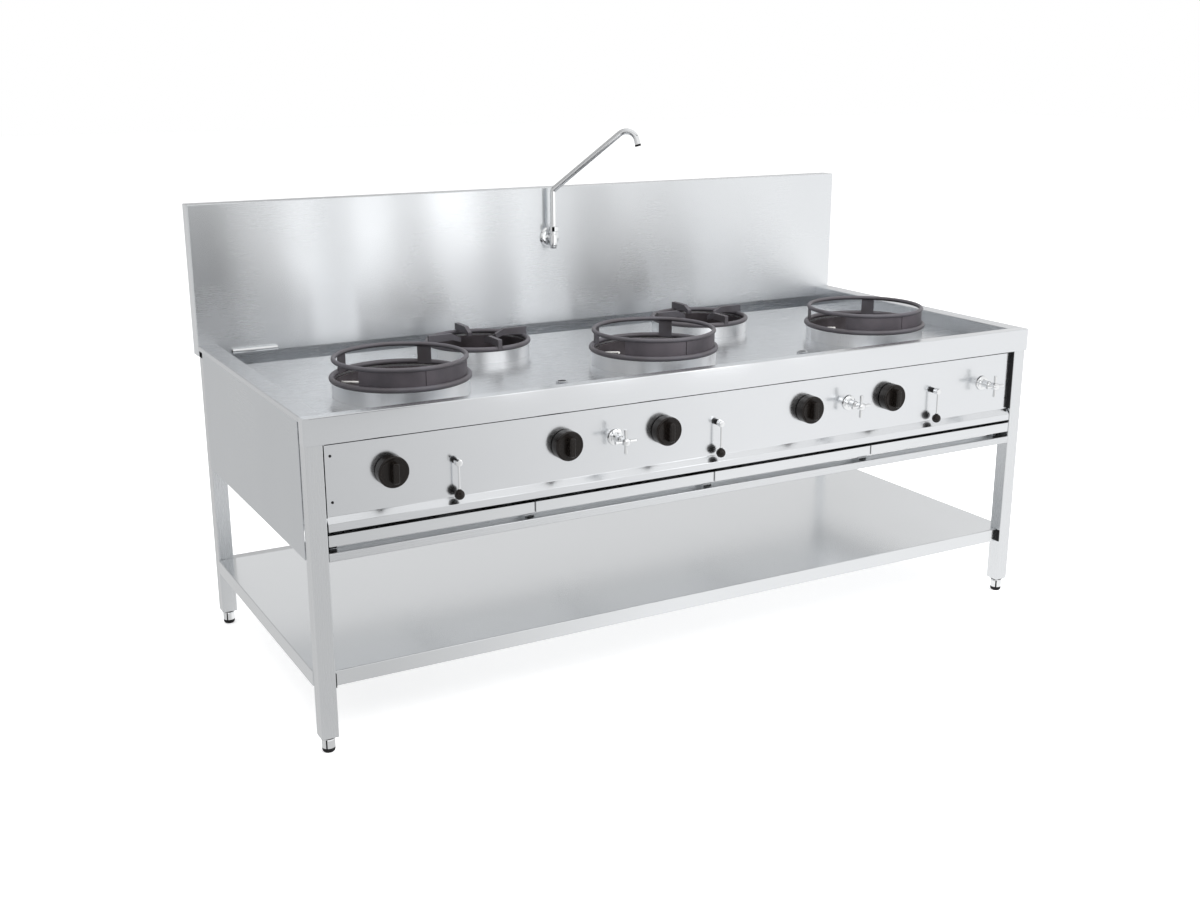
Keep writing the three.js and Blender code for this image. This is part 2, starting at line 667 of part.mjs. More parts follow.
/** A square tube leg, with a threaded plate in its lower end for the foot's stem. */
function leg(top) {
  const wall = LEG_WALL;
  const tube = cut(
    block([0, 0, FOOT_HEIGHT], [LEG, LEG, top]),
    block([wall, wall, FOOT_HEIGHT + LEG_PLUG], [LEG - wall, LEG - wall, top + wall]),
  );
  const middle = LEG / 2;
  const thread = bar(
    [middle, middle, FOOT_HEIGHT - wall],
    [middle, middle, FOOT_HEIGHT + LEG_PLUG + wall],
    FOOT_STEM_RADIUS + FIT,
  );
  return cut(tube, thread);
}

/** A levelling foot: rounded tip, bullet body, neck and stem. */
function foot() {
  const seat = FOOT_HEIGHT - FIT;
  const round = FOOT_RADIUS - FOOT_TIP_RADIUS;
  return turned([
    [0, 0],
    [FOOT_TIP_RADIUS, 0],
    [FOOT_TIP_RADIUS + 0.7 * round, 0.3 * round],
    [FOOT_RADIUS, 2 * round],
    [FOOT_RADIUS, seat - FOOT_NECK],
    [FOOT_RADIUS - FOOT_NECK / 2, seat],
    [FOOT_STEM_RADIUS, seat],
    [FOOT_STEM_RADIUS, seat + FOOT_STEM],
    [0, seat + FOOT_STEM],
  ], SMALL_ROUND);
}

/** A rectangular tube rail between two corners, open at both ends along X or Y. */
function rail(low, high, alongX) {
  const wall = LEG_WALL;
  const bore = alongX ? [-wall, wall, wall] : [wall, -wall, wall];
  return cut(
    block(low, high),
    block(low.map((at, i) => at + bore[i]), high.map((at, i) => at - bore[i])),
  );
}

/** The undershelf: a flat top notched round the legs, with four lips turned down. */
function undershelf() {
  const outer = HALF - SHELF_MARGIN;
  const rear = TOP_DEPTH - SHELF_SETBACK / 2;
  const lipBottom = SHELF_TOP - SHELF_LIP;
  const outline = [
    [-BAY_HALF, SHELF_SETBACK], [BAY_HALF, SHELF_SETBACK],
    [BAY_HALF, BAY_FRONT], [outer, BAY_FRONT],
    [outer, BAY_REAR], [BAY_HALF, BAY_REAR],
    [BAY_HALF, rear], [-BAY_HALF, rear],
    [-BAY_HALF, BAY_REAR], [-outer, BAY_REAR],
    [-outer, BAY_FRONT], [-BAY_HALF, BAY_FRONT],
  ];
  return join(
    plate(outline, SHELF_TOP - SHEET, SHELF_TOP),
    block([-BAY_HALF, SHELF_SETBACK, lipBottom], [BAY_HALF, SHELF_SETBACK + SHEET, SHELF_TOP]),
    block([-BAY_HALF, rear - SHEET, lipBottom], [BAY_HALF, rear, SHELF_TOP]),
    block([-outer, BAY_FRONT, lipBottom], [-outer + SHEET, BAY_REAR, SHELF_TOP]),
    block([outer - SHEET, BAY_FRONT, lipBottom], [outer, BAY_REAR, SHELF_TOP]),
  );
}

/** The back panel under the gutter, with holes for the gas and water pipes. */
function backPanel() {
  const front = TOP_DEPTH - SHEET;
  const sheet = block([-BAY_HALF, front, RAIL_TOP + FIT], [BAY_HALF, TOP_DEPTH, GUTTER_FLOOR - SHEET - FIT]);
  return cut(
    sheet,
    bar([-PIPE_REACH, front - SHEET, GAS_Z], [-PIPE_REACH, BACK, GAS_Z],
      GAS_PIPE_RADIUS + PIPE_GAP),
    bar([PIPE_REACH, front - SHEET, WATER_PIPE_Z], [PIPE_REACH, BACK, WATER_PIPE_Z],
      WATER_PIPE_RADIUS + PIPE_GAP),
  );
}

/** The bars that the drip trays slide on: a front bar and a runner beside each tray. */
function trayRunners() {
  const low = RAIL_TOP + FIT;
  const front = FRONT_LEG_Y + LEG - RUNNER_BEARING;
  const rear = REAR_LEG_Y + RUNNER_BEARING;
  const barFront = front + RUNNER_BAR_SETBACK;
  const pieces = [
    block([-BAY_HALF + 1, barFront, low + 1],
      [BAY_HALF - 1, barFront + RUNNER_BAR_DEPTH, low + RUNNER_BAR_HEIGHT]),
  ];
  for (let i = 0; i <= TRAY_COUNT; i += 1) {
    const centre = -LEG_INNER + i * TRAY_PITCH;
    const from = Math.max(centre - RUNNER_WIDTH / 2, -BAY_HALF);
    const to = Math.min(centre + RUNNER_WIDTH / 2, BAY_HALF);
    pieces.push(block([from, front, low], [to, rear, RUNNER_TOP]));
  }
  return join(pieces);
}

for (const [name, x] of [['left', -LEG_OUTER], ['right', LEG_INNER]]) {
  add(`leg_front_${name}`, leg(RIM_HEIGHT - SHEET - FIT), legSteel, [x, FRONT_LEG_Y, 0]);
  add(`leg_rear_${name}`, leg(SPLASH_BOTTOM - FIT), legSteel, [x, REAR_LEG_Y, 0]);
  for (const [row, y] of [['front', FRONT_LEG_Y], ['rear', REAR_LEG_Y]]) {
    add(`foot_${row}_${name}`, foot(), chrome, [x + LEG / 2, y + LEG / 2, 0]);
  }
}

add('front_rail', rail([-BAY_HALF, FRONT_LEG_Y, RAIL_BOTTOM],
  [BAY_HALF, FRONT_LEG_Y + LEG, RAIL_TOP], true), legSteel);
add('rear_rail', rail([-BAY_HALF, REAR_LEG_Y, RAIL_BOTTOM],
  [BAY_HALF, REAR_LEG_Y + LEG, RAIL_TOP], true), legSteel);
add('side_rail_left', rail([-LEG_OUTER, BAY_FRONT, RAIL_BOTTOM],
  [-LEG_OUTER + SIDE_RAIL_WIDTH, BAY_REAR, RAIL_TOP], false), legSteel);
add('side_rail_right', rail([LEG_OUTER - SIDE_RAIL_WIDTH, BAY_FRONT, RAIL_BOTTOM],
  [LEG_OUTER, BAY_REAR, RAIL_TOP], false), legSteel);

const PANEL_TOP = RIM_HEIGHT - SIDE_RIM_LIP - FIT;
add('side_panel_left', block([-LEG_OUTER - FIT - SHEET, BAY_FRONT, RAIL_BOTTOM],
  [-LEG_OUTER - FIT, BAY_REAR, PANEL_TOP]), brushedSteel);
add('side_panel_right', block([LEG_OUTER + FIT, BAY_FRONT, RAIL_BOTTOM],
  [LEG_OUTER + FIT + SHEET, BAY_REAR, PANEL_TOP]), brushedSteel);
add('back_panel', backPanel(), brushedSteel);
add('undershelf', undershelf(), brushedSteel);
add('tray_runners', trayRunners(), legSteel);

// ---------- Control panel ----------

/** The folded front panel: flange, flat face, fold and nose, with a hole for each spindle. */
function controlPanel() {
  const face = PANEL_SETBACK;
  const nose = LEG_INSET_FRONT;
  const top = DECK_Z - SHEET - FIT;
  const t = SHEET;
  const section = [
    [face, top], [face, PANEL_FOLD], [nose, NOSE_TOP], [nose, NOSE_BOTTOM],
    [nose + PANEL_FLANGE, NOSE_BOTTOM], [nose + PANEL_FLANGE, NOSE_BOTTOM + t],
    [nose + t, NOSE_BOTTOM + t], [nose + t, NOSE_TOP - t / 2],
    [face + t, PANEL_FOLD - t / 2], [face + t, top - t],
    [face + PANEL_FLANGE, top - t], [face + PANEL_FLANGE, top],
  ];
  const reach = LEG_INNER - PANEL_END_GAP;
  const through = (x, z, radius) => bar([x, 0, z], [x, face + 2 * t, z], radius, radius, 8);
  const holes = [
    ...KNOB_X.map((x) => through(x, GAS_Z, SPINDLE_RADIUS + 1)),
    ...LEVER_X.map((x) => through(x, LEVER_Z, SPINDLE_RADIUS + 1)),
    ...TAP_X.map((x) => through(x, TAP_Z, TAP_BODY_RADIUS + PIPE_GAP)),
  ];
  return cut(sectionAlongX(section, -reach, reach), holes);
}

add('control_panel', controlPanel(), brushedSteel);

// ---------- Drip trays ----------

/** A shallow tray, open above, its corner at the origin. */
function dripTray() {
  const wall = TRAY_WALL;
  return cut(
    block([0, 0, 0], [TRAY_WIDTH, TRAY_DEPTH, TRAY_HEIGHT]),
    block([wall, wall, wall], [TRAY_WIDTH - wall, TRAY_DEPTH - wall, TRAY_HEIGHT + wall]),
  );
}

for (let i = 0; i < TRAY_COUNT; i += 1) {
  const x = -LEG_INNER + i * TRAY_PITCH + TRAY_SIDE_GAP;
  add(`drip_tray_${i + 1}`, dripTray(), brushedSteel, [x, LEG_INSET_FRONT, TRAY_BOTTOM]);
}

// ---------- Burners ----------

/** A burner's stainless collar: a sleeve through the deck with a seat turned inwards below. */
function collar(radius, bottom, top) {
  return turned([
    [radius, bottom],
    [radius, top],
    [radius - COLLAR_WALL, top],
    [radius - COLLAR_WALL, bottom + COLLAR_WALL],
    [radius - COLLAR_SEAT, bottom + COLLAR_WALL],
    [radius - COLLAR_SEAT, bottom],
  ]);
}

/** A mixing tube: down from the burner's head, then forwards to its flared mouth. */
function mixingTube(top, axisZ, mouthY) {
  const bend = 2 * MIXER_RADIUS;
  return join(
    pipe([[0, 0, top], [0, 0, axisZ], [0, mouthY, axisZ]], MIXER_RADIUS, bend, 8, 2),
    bar([0, mouthY + MIXER_MOUTH_LENGTH, axisZ], [0, mouthY, axisZ], MIXER_RADIUS + 1,
      MIXER_MOUTH_RADIUS, 10),
  );
}

/** The mouth's bore, which the injector points into. */
function mixerBore(axisZ, mouthY) {
  return bar([0, mouthY - FIT, axisZ], [0, mouthY + MIXER_MOUTH_LENGTH, axisZ],
    MIXER_MOUTH_RADIUS - 3, MIXER_RADIUS - 4, 10);
}

/** Jets on a disc, in rings of [radius, count]. */
function jets(base, rings) {
  return rings.flatMap(([radius, count]) => Array.from({ length: count }, (_, i) => {
    const angle = (2 * Math.PI * i) / count;
    const [x, y] = [radius * Math.cos(angle), radius * Math.sin(angle)];
    return bar([x, y, base - 1], [x, y, base + JET_HEIGHT], JET_RADIUS, JET_RADIUS * 0.75, 4);
  }));
}

/** Wok burner: cast bowl, jet crown on four spokes in its throat, and mixing tube. */
function wokBurner() {
  const seat = WOK_CHAMBER_BOTTOM + COLLAR_WALL + FIT;
  const rim = WOK_COLLAR_TOP - BOWL_RIM_DROP;
  const outer = WOK_COLLAR_RADIUS - COLLAR_WALL - FIT;
  const depth = rim - seat;
  const bowl = turned([
    [BOWL_THROAT_RADIUS, seat],
    [outer - 0.25 * depth, seat],
    [outer, seat + 0.35 * depth],
    [outer, rim],
    [outer - BOWL_WALL, rim],
    [outer - 2.5 * BOWL_WALL, rim - 0.42 * depth],
    [outer - 6 * BOWL_WALL, rim - 0.75 * depth],
    [BOWL_FLOOR_RADIUS, seat + BOWL_WALL],
    [BOWL_THROAT_RADIUS, seat + BOWL_WALL],
  ]);
  const crownBase = seat + CROWN_RISE;
  const crown = bar([0, 0, crownBase - CROWN_THICKNESS], [0, 0, crownBase], CROWN_RADIUS,
    CROWN_RADIUS, ROUND / 2);
  const spoke = (angle) => {
    const reach = BOWL_THROAT_RADIUS + SPOKE_WIDTH / 2;
    const geometry = new THREE.BoxGeometry(2 * reach, SPOKE_WIDTH, SPOKE_WIDTH);
    return solid(geometry.rotateZ(angle).translate(0, 0, seat + SPOKE_WIDTH / 2 + 1));
  };
  const rings = [[0, 1], [CROWN_RADIUS * 0.42, 3], [CROWN_RADIUS * 0.82, 6]];
  const axisZ = seat - MIXER_DROP;
  const mouthY = MIXER_MOUTH_Y - WOK_Y;
  const whole = join(bowl, crown, spoke(Math.PI / 4), spoke(-Math.PI / 4), jets(crownBase, rings),
    mixingTube(crownBase - CROWN_THICKNESS / 2, axisZ, mouthY));
  return cut(whole, mixerBore(axisZ, mouthY));
}

/** Pan burner: shallow bowl, mixing tube and a ported cap on a neck. */
function panBurner() {
  const seat = PAN_CHAMBER_BOTTOM + COLLAR_WALL + FIT;
  const outer = PAN_COLLAR_RADIUS - COLLAR_WALL - FIT;
  const rim = PAN_COLLAR_TOP - BOWL_RIM_DROP;
  const bowl = turned([
    [PAN_CAP_RADIUS / 2, seat],
    [outer, seat],
    [outer, rim],
    [outer - BOWL_WALL / 2, rim],
    [outer - BOWL_WALL, seat + 2 * BOWL_WALL],
    [outer - 3 * BOWL_WALL, seat + BOWL_WALL / 2],
    [PAN_CAP_RADIUS / 2, seat + BOWL_WALL / 2],
  ]);
  const capZ = seat + 0.55 * (rim - seat);
  const axisZ = seat - MIXER_DROP;
  const mouthY = MIXER_MOUTH_Y - PAN_Y;
  const head = turned([
    [0, seat],
    [PAN_CAP_RADIUS / 2 + 1, seat],
    [PAN_CAP_RADIUS * 0.55, capZ - PAN_CAP_HEIGHT],
    [PAN_CAP_RADIUS, capZ - PAN_CAP_HEIGHT / 2],
    [PAN_CAP_RADIUS, capZ + PAN_CAP_HEIGHT / 2],
    [PAN_CAP_RADIUS * 0.85, capZ + PAN_CAP_HEIGHT],
    [0, capZ + PAN_CAP_HEIGHT + 1],
  ], ROUND);
  const ports = [];
  for (let i = 0; i < PAN_PORTS; i += 1) {
    const geometry = new THREE.BoxGeometry(PAN_CAP_RADIUS / 2, JET_RADIUS, PAN_CAP_HEIGHT / 2);
    geometry.translate(PAN_CAP_RADIUS, 0, capZ).rotateZ((2 * Math.PI * (i + 0.5)) / PAN_PORTS);
    ports.push(solid(geometry));
  }
  const whole = join(bowl, head, mixingTube(seat + BOWL_WALL / 4, axisZ, mouthY));
  return cut(whole, ports, mixerBore(axisZ, mouthY));
}

/** The lift-off wok ring: two round-bar rings, two curved shield plates and two posts. */
function wokRing() {
  const front = -90;
  const top = WOK_RING_RISE;
  const [z0, z1] = [-WOK_RING_BAR / 2, top - WOK_TOP_RING_BAR / 2];
  const pieces = [
    ring(WOK_RING_RADIUS, WOK_RING_BAR, 0),
    ring(WOK_TOP_RING_RADIUS, WOK_TOP_RING_BAR, top),
  ];
  for (const side of SIDES) {
    const shield = [front + side * SHIELD_JOINT, front + side * SHIELD_HALF_ANGLE];
    const post = front + side * POST_ANGLE;
    shield.sort((a, b) => a - b);
    pieces.push(curvedPlate(SHIELD_RADIUS, SHIELD_THICKNESS, ...shield, z0, z1));
    pieces.push(curvedPlate(SHIELD_RADIUS, SHIELD_THICKNESS, post - POST_SPREAD / 2,
      post + POST_SPREAD / 2, z0, z1));
  }
  return join(pieces);
}

/** The lift-off pan support: a round-bar ring with four plate fingers. */
function panSupport() {
  const outer = PAN_RING_RADIUS + PAN_RING_BAR;
  const finger = shapeOf([
    [outer, -PAN_RING_BAR / 2],
    [outer, FINGER_RISE],
    [FINGER_BEND_RADIUS, FINGER_RISE],
    [FINGER_INNER_RADIUS, FINGER_RISE - FINGER_DIP],
    [FINGER_INNER_RADIUS, FINGER_RISE - FINGER_DIP - FINGER_DEPTH],
    [FINGER_BEND_RADIUS, FINGER_RISE - 1.4 * FINGER_DEPTH],
    [PAN_RING_RADIUS - PAN_RING_BAR, FINGER_RISE - 1.6 * FINGER_DEPTH],
    [PAN_RING_RADIUS - PAN_RING_BAR / 2, -PAN_RING_BAR / 2],
  ]);
  const pieces = [ring(PAN_RING_RADIUS, PAN_RING_BAR, 0)];
  for (let i = 0; i < 4; i += 1) {
    const geometry = new THREE.ExtrudeGeometry(finger, { depth: FINGER_WIDTH, bevelEnabled: false });
    geometry.translate(0, 0, -FINGER_WIDTH / 2).rotateX(Math.PI / 2).rotateZ((i * Math.PI) / 2);
    pieces.push(solid(geometry));
  }
  return join(pieces);
}

const STATIONS = ['left', 'middle', 'right'];
const MIXER_MOUTH_Y = GAS_PIPE_Y + GAS_PIPE_RADIUS + 3 * INJECTOR_GAP + MIXER_MOUTH_LENGTH;

STATIONS.forEach((station, i) => {
  const place = [WOK_X[i], WOK_Y, 0];
  const ringZ = WOK_COLLAR_TOP + ringSeat(WOK_RING_BAR);
  add(`wok_collar_${station}`, collar(WOK_COLLAR_RADIUS, WOK_CHAMBER_BOTTOM, WOK_COLLAR_TOP),
    brushedSteel, place);
  add(`wok_burner_${station}`, wokBurner(), castIron, place);
  add(`wok_ring_${station}`, wokRing(), ringSteel, [WOK_X[i], WOK_Y, ringZ]);
});

['left', 'right'].forEach((side, i) => {
  const place = [PAN_X[i], PAN_Y, 0];
  const ringZ = PAN_COLLAR_TOP + ringSeat(PAN_RING_BAR);
  add(`pan_collar_${side}`, collar(PAN_COLLAR_RADIUS, PAN_CHAMBER_BOTTOM, PAN_COLLAR_TOP),
    brushedSteel, place);
  add(`pan_burner_${side}`, panBurner(), castIron, place);
  add(`pan_support_${side}`, panSupport(), ringSteel, [PAN_X[i], PAN_Y, ringZ]);
});

// ---------- Gas: manifold, valves, feed pipes and injectors ----------

/** The gas pipe with its inlet, a valve behind each knob and lever, and a feed to each burner. */
function gasManifold() {
  const wokAxisZ = WOK_CHAMBER_BOTTOM + COLLAR_WALL + FIT - MIXER_DROP;
  const panAxisZ = PAN_CHAMBER_BOTTOM + COLLAR_WALL + FIT - MIXER_DROP;
  const valve = (x, z, tip) => join(
    block([x - VALVE_SIZE / 2, VALVE_FRONT, z - VALVE_SIZE / 2],
      [x + VALVE_SIZE / 2, GAS_PIPE_Y, z + VALVE_SIZE / 2]),
    bar([x, VALVE_FRONT + SHEET, z], [x, tip, z], SPINDLE_RADIUS, SPINDLE_RADIUS, 6),
  );
  const feed = (from, to, axisZ) => {
    const valveY = VALVE_FRONT + VALVE_SIZE / 2;
    const tip = MIXER_MOUTH_Y - INJECTOR_GAP;
    const corners = [[from, valveY, GAS_Z], [from, valveY, axisZ], [to, valveY, axisZ], [to, tip, axisZ]];
    return pipe(corners, FEED_RADIUS, 2 * FEED_RADIUS, 6, 1);
  };
  const knobTip = KNOB_BACK_Y - KNOB_SOCKET + FIT;
  const leverTip = LEVER_BACK_Y - LEVER_SOCKET + FIT;
  return join(
    pipe([[PIPE_REACH, GAS_PIPE_Y, GAS_Z], [-PIPE_REACH, GAS_PIPE_Y, GAS_Z],
      [-PIPE_REACH, GAS_INLET_Y, GAS_Z]], GAS_PIPE_RADIUS, 2 * GAS_PIPE_RADIUS, 8, 2),
    KNOB_X.map((x) => valve(x, GAS_Z, knobTip)),
    LEVER_X.map((x) => valve(x, LEVER_Z, leverTip)),
    WOK_X.map((x, i) => feed(WOK_KNOB_X[i], x, wokAxisZ)),
    PAN_X.map((x, i) => feed(PAN_KNOB_X[i], x, panAxisZ)),
  );
}

add('gas_manifold', gasManifold(), brass);

// ---------- Water: pipe, tap bodies, faucet and rinse pipe ----------

/** One tap: body through the panel, flange, bonnet and spindle, fed from the pipe above. */
function tapBody(x) {
  const rear = WATER_PIPE_Y + TAP_BODY_RADIUS;
  return [
    bar([x, rear, TAP_Z], [x, TAP_FACE_Y + 2, TAP_Z], TAP_BODY_RADIUS, TAP_BODY_RADIUS, 10),
    bar([x, PANEL_SETBACK - FIT, TAP_Z], [x, TAP_FACE_Y, TAP_Z], TAP_FLANGE_RADIUS,
      TAP_FLANGE_RADIUS - 2, 14),
    bar([x, TAP_FACE_Y + 1, TAP_Z], [x, TAP_END_Y, TAP_Z], TAP_BONNET_RADIUS, TAP_BONNET_RADIUS - 2),
    bar([x, TAP_END_Y + 1, TAP_Z], [x, TAP_END_Y - TAP_SPINDLE + FIT, TAP_Z],
      SPINDLE_RADIUS, SPINDLE_RADIUS, 6),
    bar([x, WATER_PIPE_Y, TAP_Z], [x, WATER_PIPE_Y, WATER_PIPE_Z], WATER_PIPE_RADIUS * 0.7,
      WATER_PIPE_RADIUS * 0.7, 6),
  ];
}

/** The water pipe along the panel, back through the range and up inside the splashback. */
function waterManifold() {
  const middle = TOP_DEPTH + SPLASH_DEPTH / 2;
  const shankEnd = TOP_DEPTH - FIT + SHANK_LENGTH;
  const route = [
    [TAP_X[0] - TAP_BODY_RADIUS, WATER_PIPE_Y, WATER_PIPE_Z],
    [PIPE_REACH, WATER_PIPE_Y, WATER_PIPE_Z],
    [PIPE_REACH, middle, WATER_PIPE_Z],
    [PIPE_REACH, middle, FAUCET_Z],
    [0, middle, FAUCET_Z],
  ];
  const reach = middle + WATER_PIPE_RADIUS - SHEET;
  return join(
    pipe(route, WATER_PIPE_RADIUS, WATER_BEND, 8, 2),
    bar([0, reach, FAUCET_Z], [0, shankEnd + FIT, FAUCET_Z], WATER_PIPE_RADIUS),
    bar([PIPE_REACH, middle, WATER_PIPE_Z + WATER_BEND],
      [PIPE_REACH, middle, WATER_PIPE_Z - WATER_INLET], WATER_PIPE_RADIUS + 2),
    TAP_X.flatMap((x) => tapBody(x)),
  );
}

/** The faucet's wall part: rosette, round body, end cap, upright stub and threaded shank. */
function faucetBody() {
  const wallY = TOP_DEPTH - FIT;
  const rosette = turnedForwards([
    [0, 0],
    [ROSETTE_RADIUS, 0],
    [ROSETTE_RADIUS, ROSETTE_DEPTH * 0.3],
    [ROSETTE_RADIUS * 0.8, ROSETTE_DEPTH],
    [0, ROSETTE_DEPTH],
  ], 0, 14).translate([0, wallY, FAUCET_Z]);
  return join(
    rosette,
    bar([0, wallY - 1, FAUCET_Z], [0, SPOUT_Y, FAUCET_Z], FAUCET_BODY_RADIUS),
    bar([0, SPOUT_Y, FAUCET_Z - FAUCET_CAP], [0, SPOUT_Y, FAUCET_Z + FAUCET_BODY_RADIUS],
      FAUCET_BODY_RADIUS - 3, FAUCET_BODY_RADIUS),
    bar([0, SPOUT_Y, FAUCET_Z], [0, SPOUT_Y, STUB_TOP], FAUCET_STUB_RADIUS),
    bar([0, wallY - 1, FAUCET_Z], [0, wallY + SHANK_LENGTH, FAUCET_Z], SHANK_RADIUS),
  );
}

/** The swivel nut round the spout's foot. */
function faucetNut() {
  const low = STUB_TOP + FIT;
  const nut = bar([0, SPOUT_Y, low], [0, SPOUT_Y, low + NUT_HEIGHT], NUT_RADIUS, NUT_RADIUS, 6);
  const clear = (SPOUT_RADIUS + FIT) / Math.cos(Math.PI / ROUND);
  const bore = bar([0, SPOUT_Y, low - 1], [0, SPOUT_Y, low + NUT_HEIGHT + 1], clear, clear, ROUND);
  return cut(nut, bore);
}

/** The spout in the X-Z plane, its riser's foot at the origin, bored at its tip. */
function spout() {
  const arm = THREE.MathUtils.degToRad(SPOUT_ARM_ANGLE);
  const tip = THREE.MathUtils.degToRad(SPOUT_TIP_ANGLE);
  const reach = SPOUT_TIP_BEND * Math.tan((arm + tip) / 2);
  const along = SPOUT_ARM + reach;
  const crest = [along * Math.cos(arm), 0, SPOUT_RISE + along * Math.sin(arm)];
  const down = (from, length) => [from[0] + length * Math.cos(tip), 0, from[2] - length * Math.sin(tip)];
  const end = down(crest, reach + SPOUT_TIP);
  const tube = pipe([[0, 0, 0], [0, 0, SPOUT_RISE], crest, end], SPOUT_RADIUS,
    [SPOUT_RADIUS, SPOUT_TIP_BEND], 10, 4);
  return cut(tube, bar(down(end, -SPOUT_TIP), down(end, 1), SPOUT_BORE, SPOUT_BORE, 12));
}

/** The rinse pipe on the splashback, open at its left end. */
function rinsePipe() {
  const half = RINSE_LENGTH / 2;
  const y = TOP_DEPTH - FIT - RINSE_RADIUS;
  const stubX = RINSE_X + half - 2 * RINSE_RADIUS;
  const tube = join(
    bar([RINSE_X - half, y, RINSE_Z], [RINSE_X + half, y, RINSE_Z], RINSE_RADIUS, RINSE_RADIUS, 12),
    bar([stubX, y, RINSE_Z], [stubX, TOP_DEPTH + 3 * SHEET, RINSE_Z], RINSE_STUB_RADIUS),
  );
  return cut(tube, bar([RINSE_X - half - 1, y, RINSE_Z], [RINSE_X + half - RINSE_RADIUS, y, RINSE_Z],
    RINSE_BORE, RINSE_BORE, 12));
}

add('water_manifold', waterManifold(), brass);
add('faucet_body', faucetBody(), chrome);
add('faucet_nut', faucetNut(), chrome);
add('rinse_pipe', rinsePipe(), chrome);

const swivel = new THREE.Group();
swivel.position.set(0, SPOUT_Y, STUB_TOP + FIT);
swivel.rotation.z = THREE.MathUtils.degToRad(SPOUT_SWING);
range.add(swivel);
add('faucet_spout', spout(), chrome, [0, 0, 0], swivel);

// ---------- Knobs, levers and tap handles ----------

/** A gas knob: a round body and a grip bar across its face, with a blind socket behind. */
function knob() {
  const body = turnedForwards([
    [SOCKET_RADIUS, 0],
    [KNOB_RADIUS, 0],
    [KNOB_RADIUS, KNOB_BODY_DEPTH - KNOB_EASE],
    [KNOB_RADIUS - KNOB_EASE, KNOB_BODY_DEPTH],
    [0, KNOB_BODY_DEPTH],
    [0, KNOB_SOCKET],
    [SOCKET_RADIUS, KNOB_SOCKET],
  ], 0, 12);
  const width = KNOB_GRIP_WIDTH;
  const reach = KNOB_GRIP_LENGTH / 2;
  const grip = shapeOf([
    [-reach, KNOB_EASE - KNOB_BODY_DEPTH], [reach, KNOB_EASE - KNOB_BODY_DEPTH],
    [reach, KNOB_GRIP_EASE - KNOB_DEPTH], [reach - KNOB_GRIP_EASE, -KNOB_DEPTH],
    [KNOB_GRIP_EASE - reach, -KNOB_DEPTH], [-reach, KNOB_GRIP_EASE - KNOB_DEPTH],
  ]);
  const geometry = new THREE.ExtrudeGeometry(grip, { depth: width, bevelEnabled: false });
  geometry.translate(0, 0, -width / 2).rotateY(Math.PI / 2);
  return join(body, solid(geometry));
}

/** A lever cock's arm: hub with a blind socket, rod hanging down, ball on its end. */
function lever() {
  const hub = turnedForwards([
    [SOCKET_RADIUS, 0],
    [LEVER_HUB_RADIUS, 0],
    [LEVER_HUB_RADIUS, LEVER_HUB_DEPTH - 2],
    [LEVER_HUB_RADIUS - 2, LEVER_HUB_DEPTH],
    [0, LEVER_HUB_DEPTH],
    [0, LEVER_SOCKET],
    [SOCKET_RADIUS, LEVER_SOCKET],
  ]);
  const y = -LEVER_HUB_DEPTH / 2 - LEVER_ROD_RADIUS;
  const rod = bar([0, y, -SPINDLE_RADIUS - 2], [0, y, -LEVER_REACH], LEVER_ROD_RADIUS, LEVER_ROD_RADIUS, 6);
  const ball = solid(new THREE.SphereGeometry(LEVER_BALL_RADIUS, 8, 4).translate(0, y, -LEVER_REACH));
  return join(hub, rod, ball);
}

/** A cross handle: hub with a blind socket and four round arms that widen to their tips. */
function tapHandle() {
  const hub = turnedForwards([
    [SOCKET_RADIUS, 0],
    [HANDLE_HUB_RADIUS, 0],
    [HANDLE_HUB_RADIUS, HANDLE_HUB_DEPTH * 0.8],
    [HANDLE_HUB_RADIUS * 0.6, HANDLE_HUB_DEPTH],
    [0, HANDLE_HUB_DEPTH],
    [0, HANDLE_SOCKET],
    [SOCKET_RADIUS, HANDLE_SOCKET],
  ]);
  const y = -HANDLE_HUB_DEPTH / 2;
  const pieces = [hub];
  for (let i = 0; i < 4; i += 1) {
    const [dx, dz] = [Math.round(Math.cos((i * Math.PI) / 2)), Math.round(Math.sin((i * Math.PI) / 2))];
    const at = (reach) => [dx * reach, y, dz * reach];
    pieces.push(bar(at(HANDLE_HUB_RADIUS * 0.7), at(HANDLE_ARM), HANDLE_ARM_RADIUS, HANDLE_TIP_RADIUS, 6));
  }
  return join(pieces);
}

STATIONS.forEach((station, i) => {
  add(`wok_knob_${station}`, knob(), blackPlastic, [WOK_KNOB_X[i], KNOB_BACK_Y, GAS_Z]);
  add(`gas_lever_${station}`, lever(), chrome, [LEVER_X[i], LEVER_BACK_Y, LEVER_Z]);
  add(`tap_handle_${station}`, tapHandle(), chrome, [TAP_X[i], HANDLE_BACK_Y, TAP_Z]);
});

['left', 'right'].forEach((side, i) => {
  add(`pan_knob_${side}`, knob(), blackPlastic, [PAN_KNOB_X[i], KNOB_BACK_Y, GAS_Z]);
});

range.position.y = -(FRONT + BACK) / 2;

export default range;
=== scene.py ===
"""A free-standing stainless wok range with three wok burners and two pan burners.

Every shape is given in layout millimetres: X to the right, Y to the rear from
the apron's face and Z up from the floor. Shape.build() turns them into the
frame's metres.
"""

from __future__ import annotations

import logging
import math
from dataclasses import dataclass, field, replace
from enum import Enum
from typing import Any, ClassVar, Iterable, Sequence

import bmesh
import bpy
from mathutils import Matrix, Vector

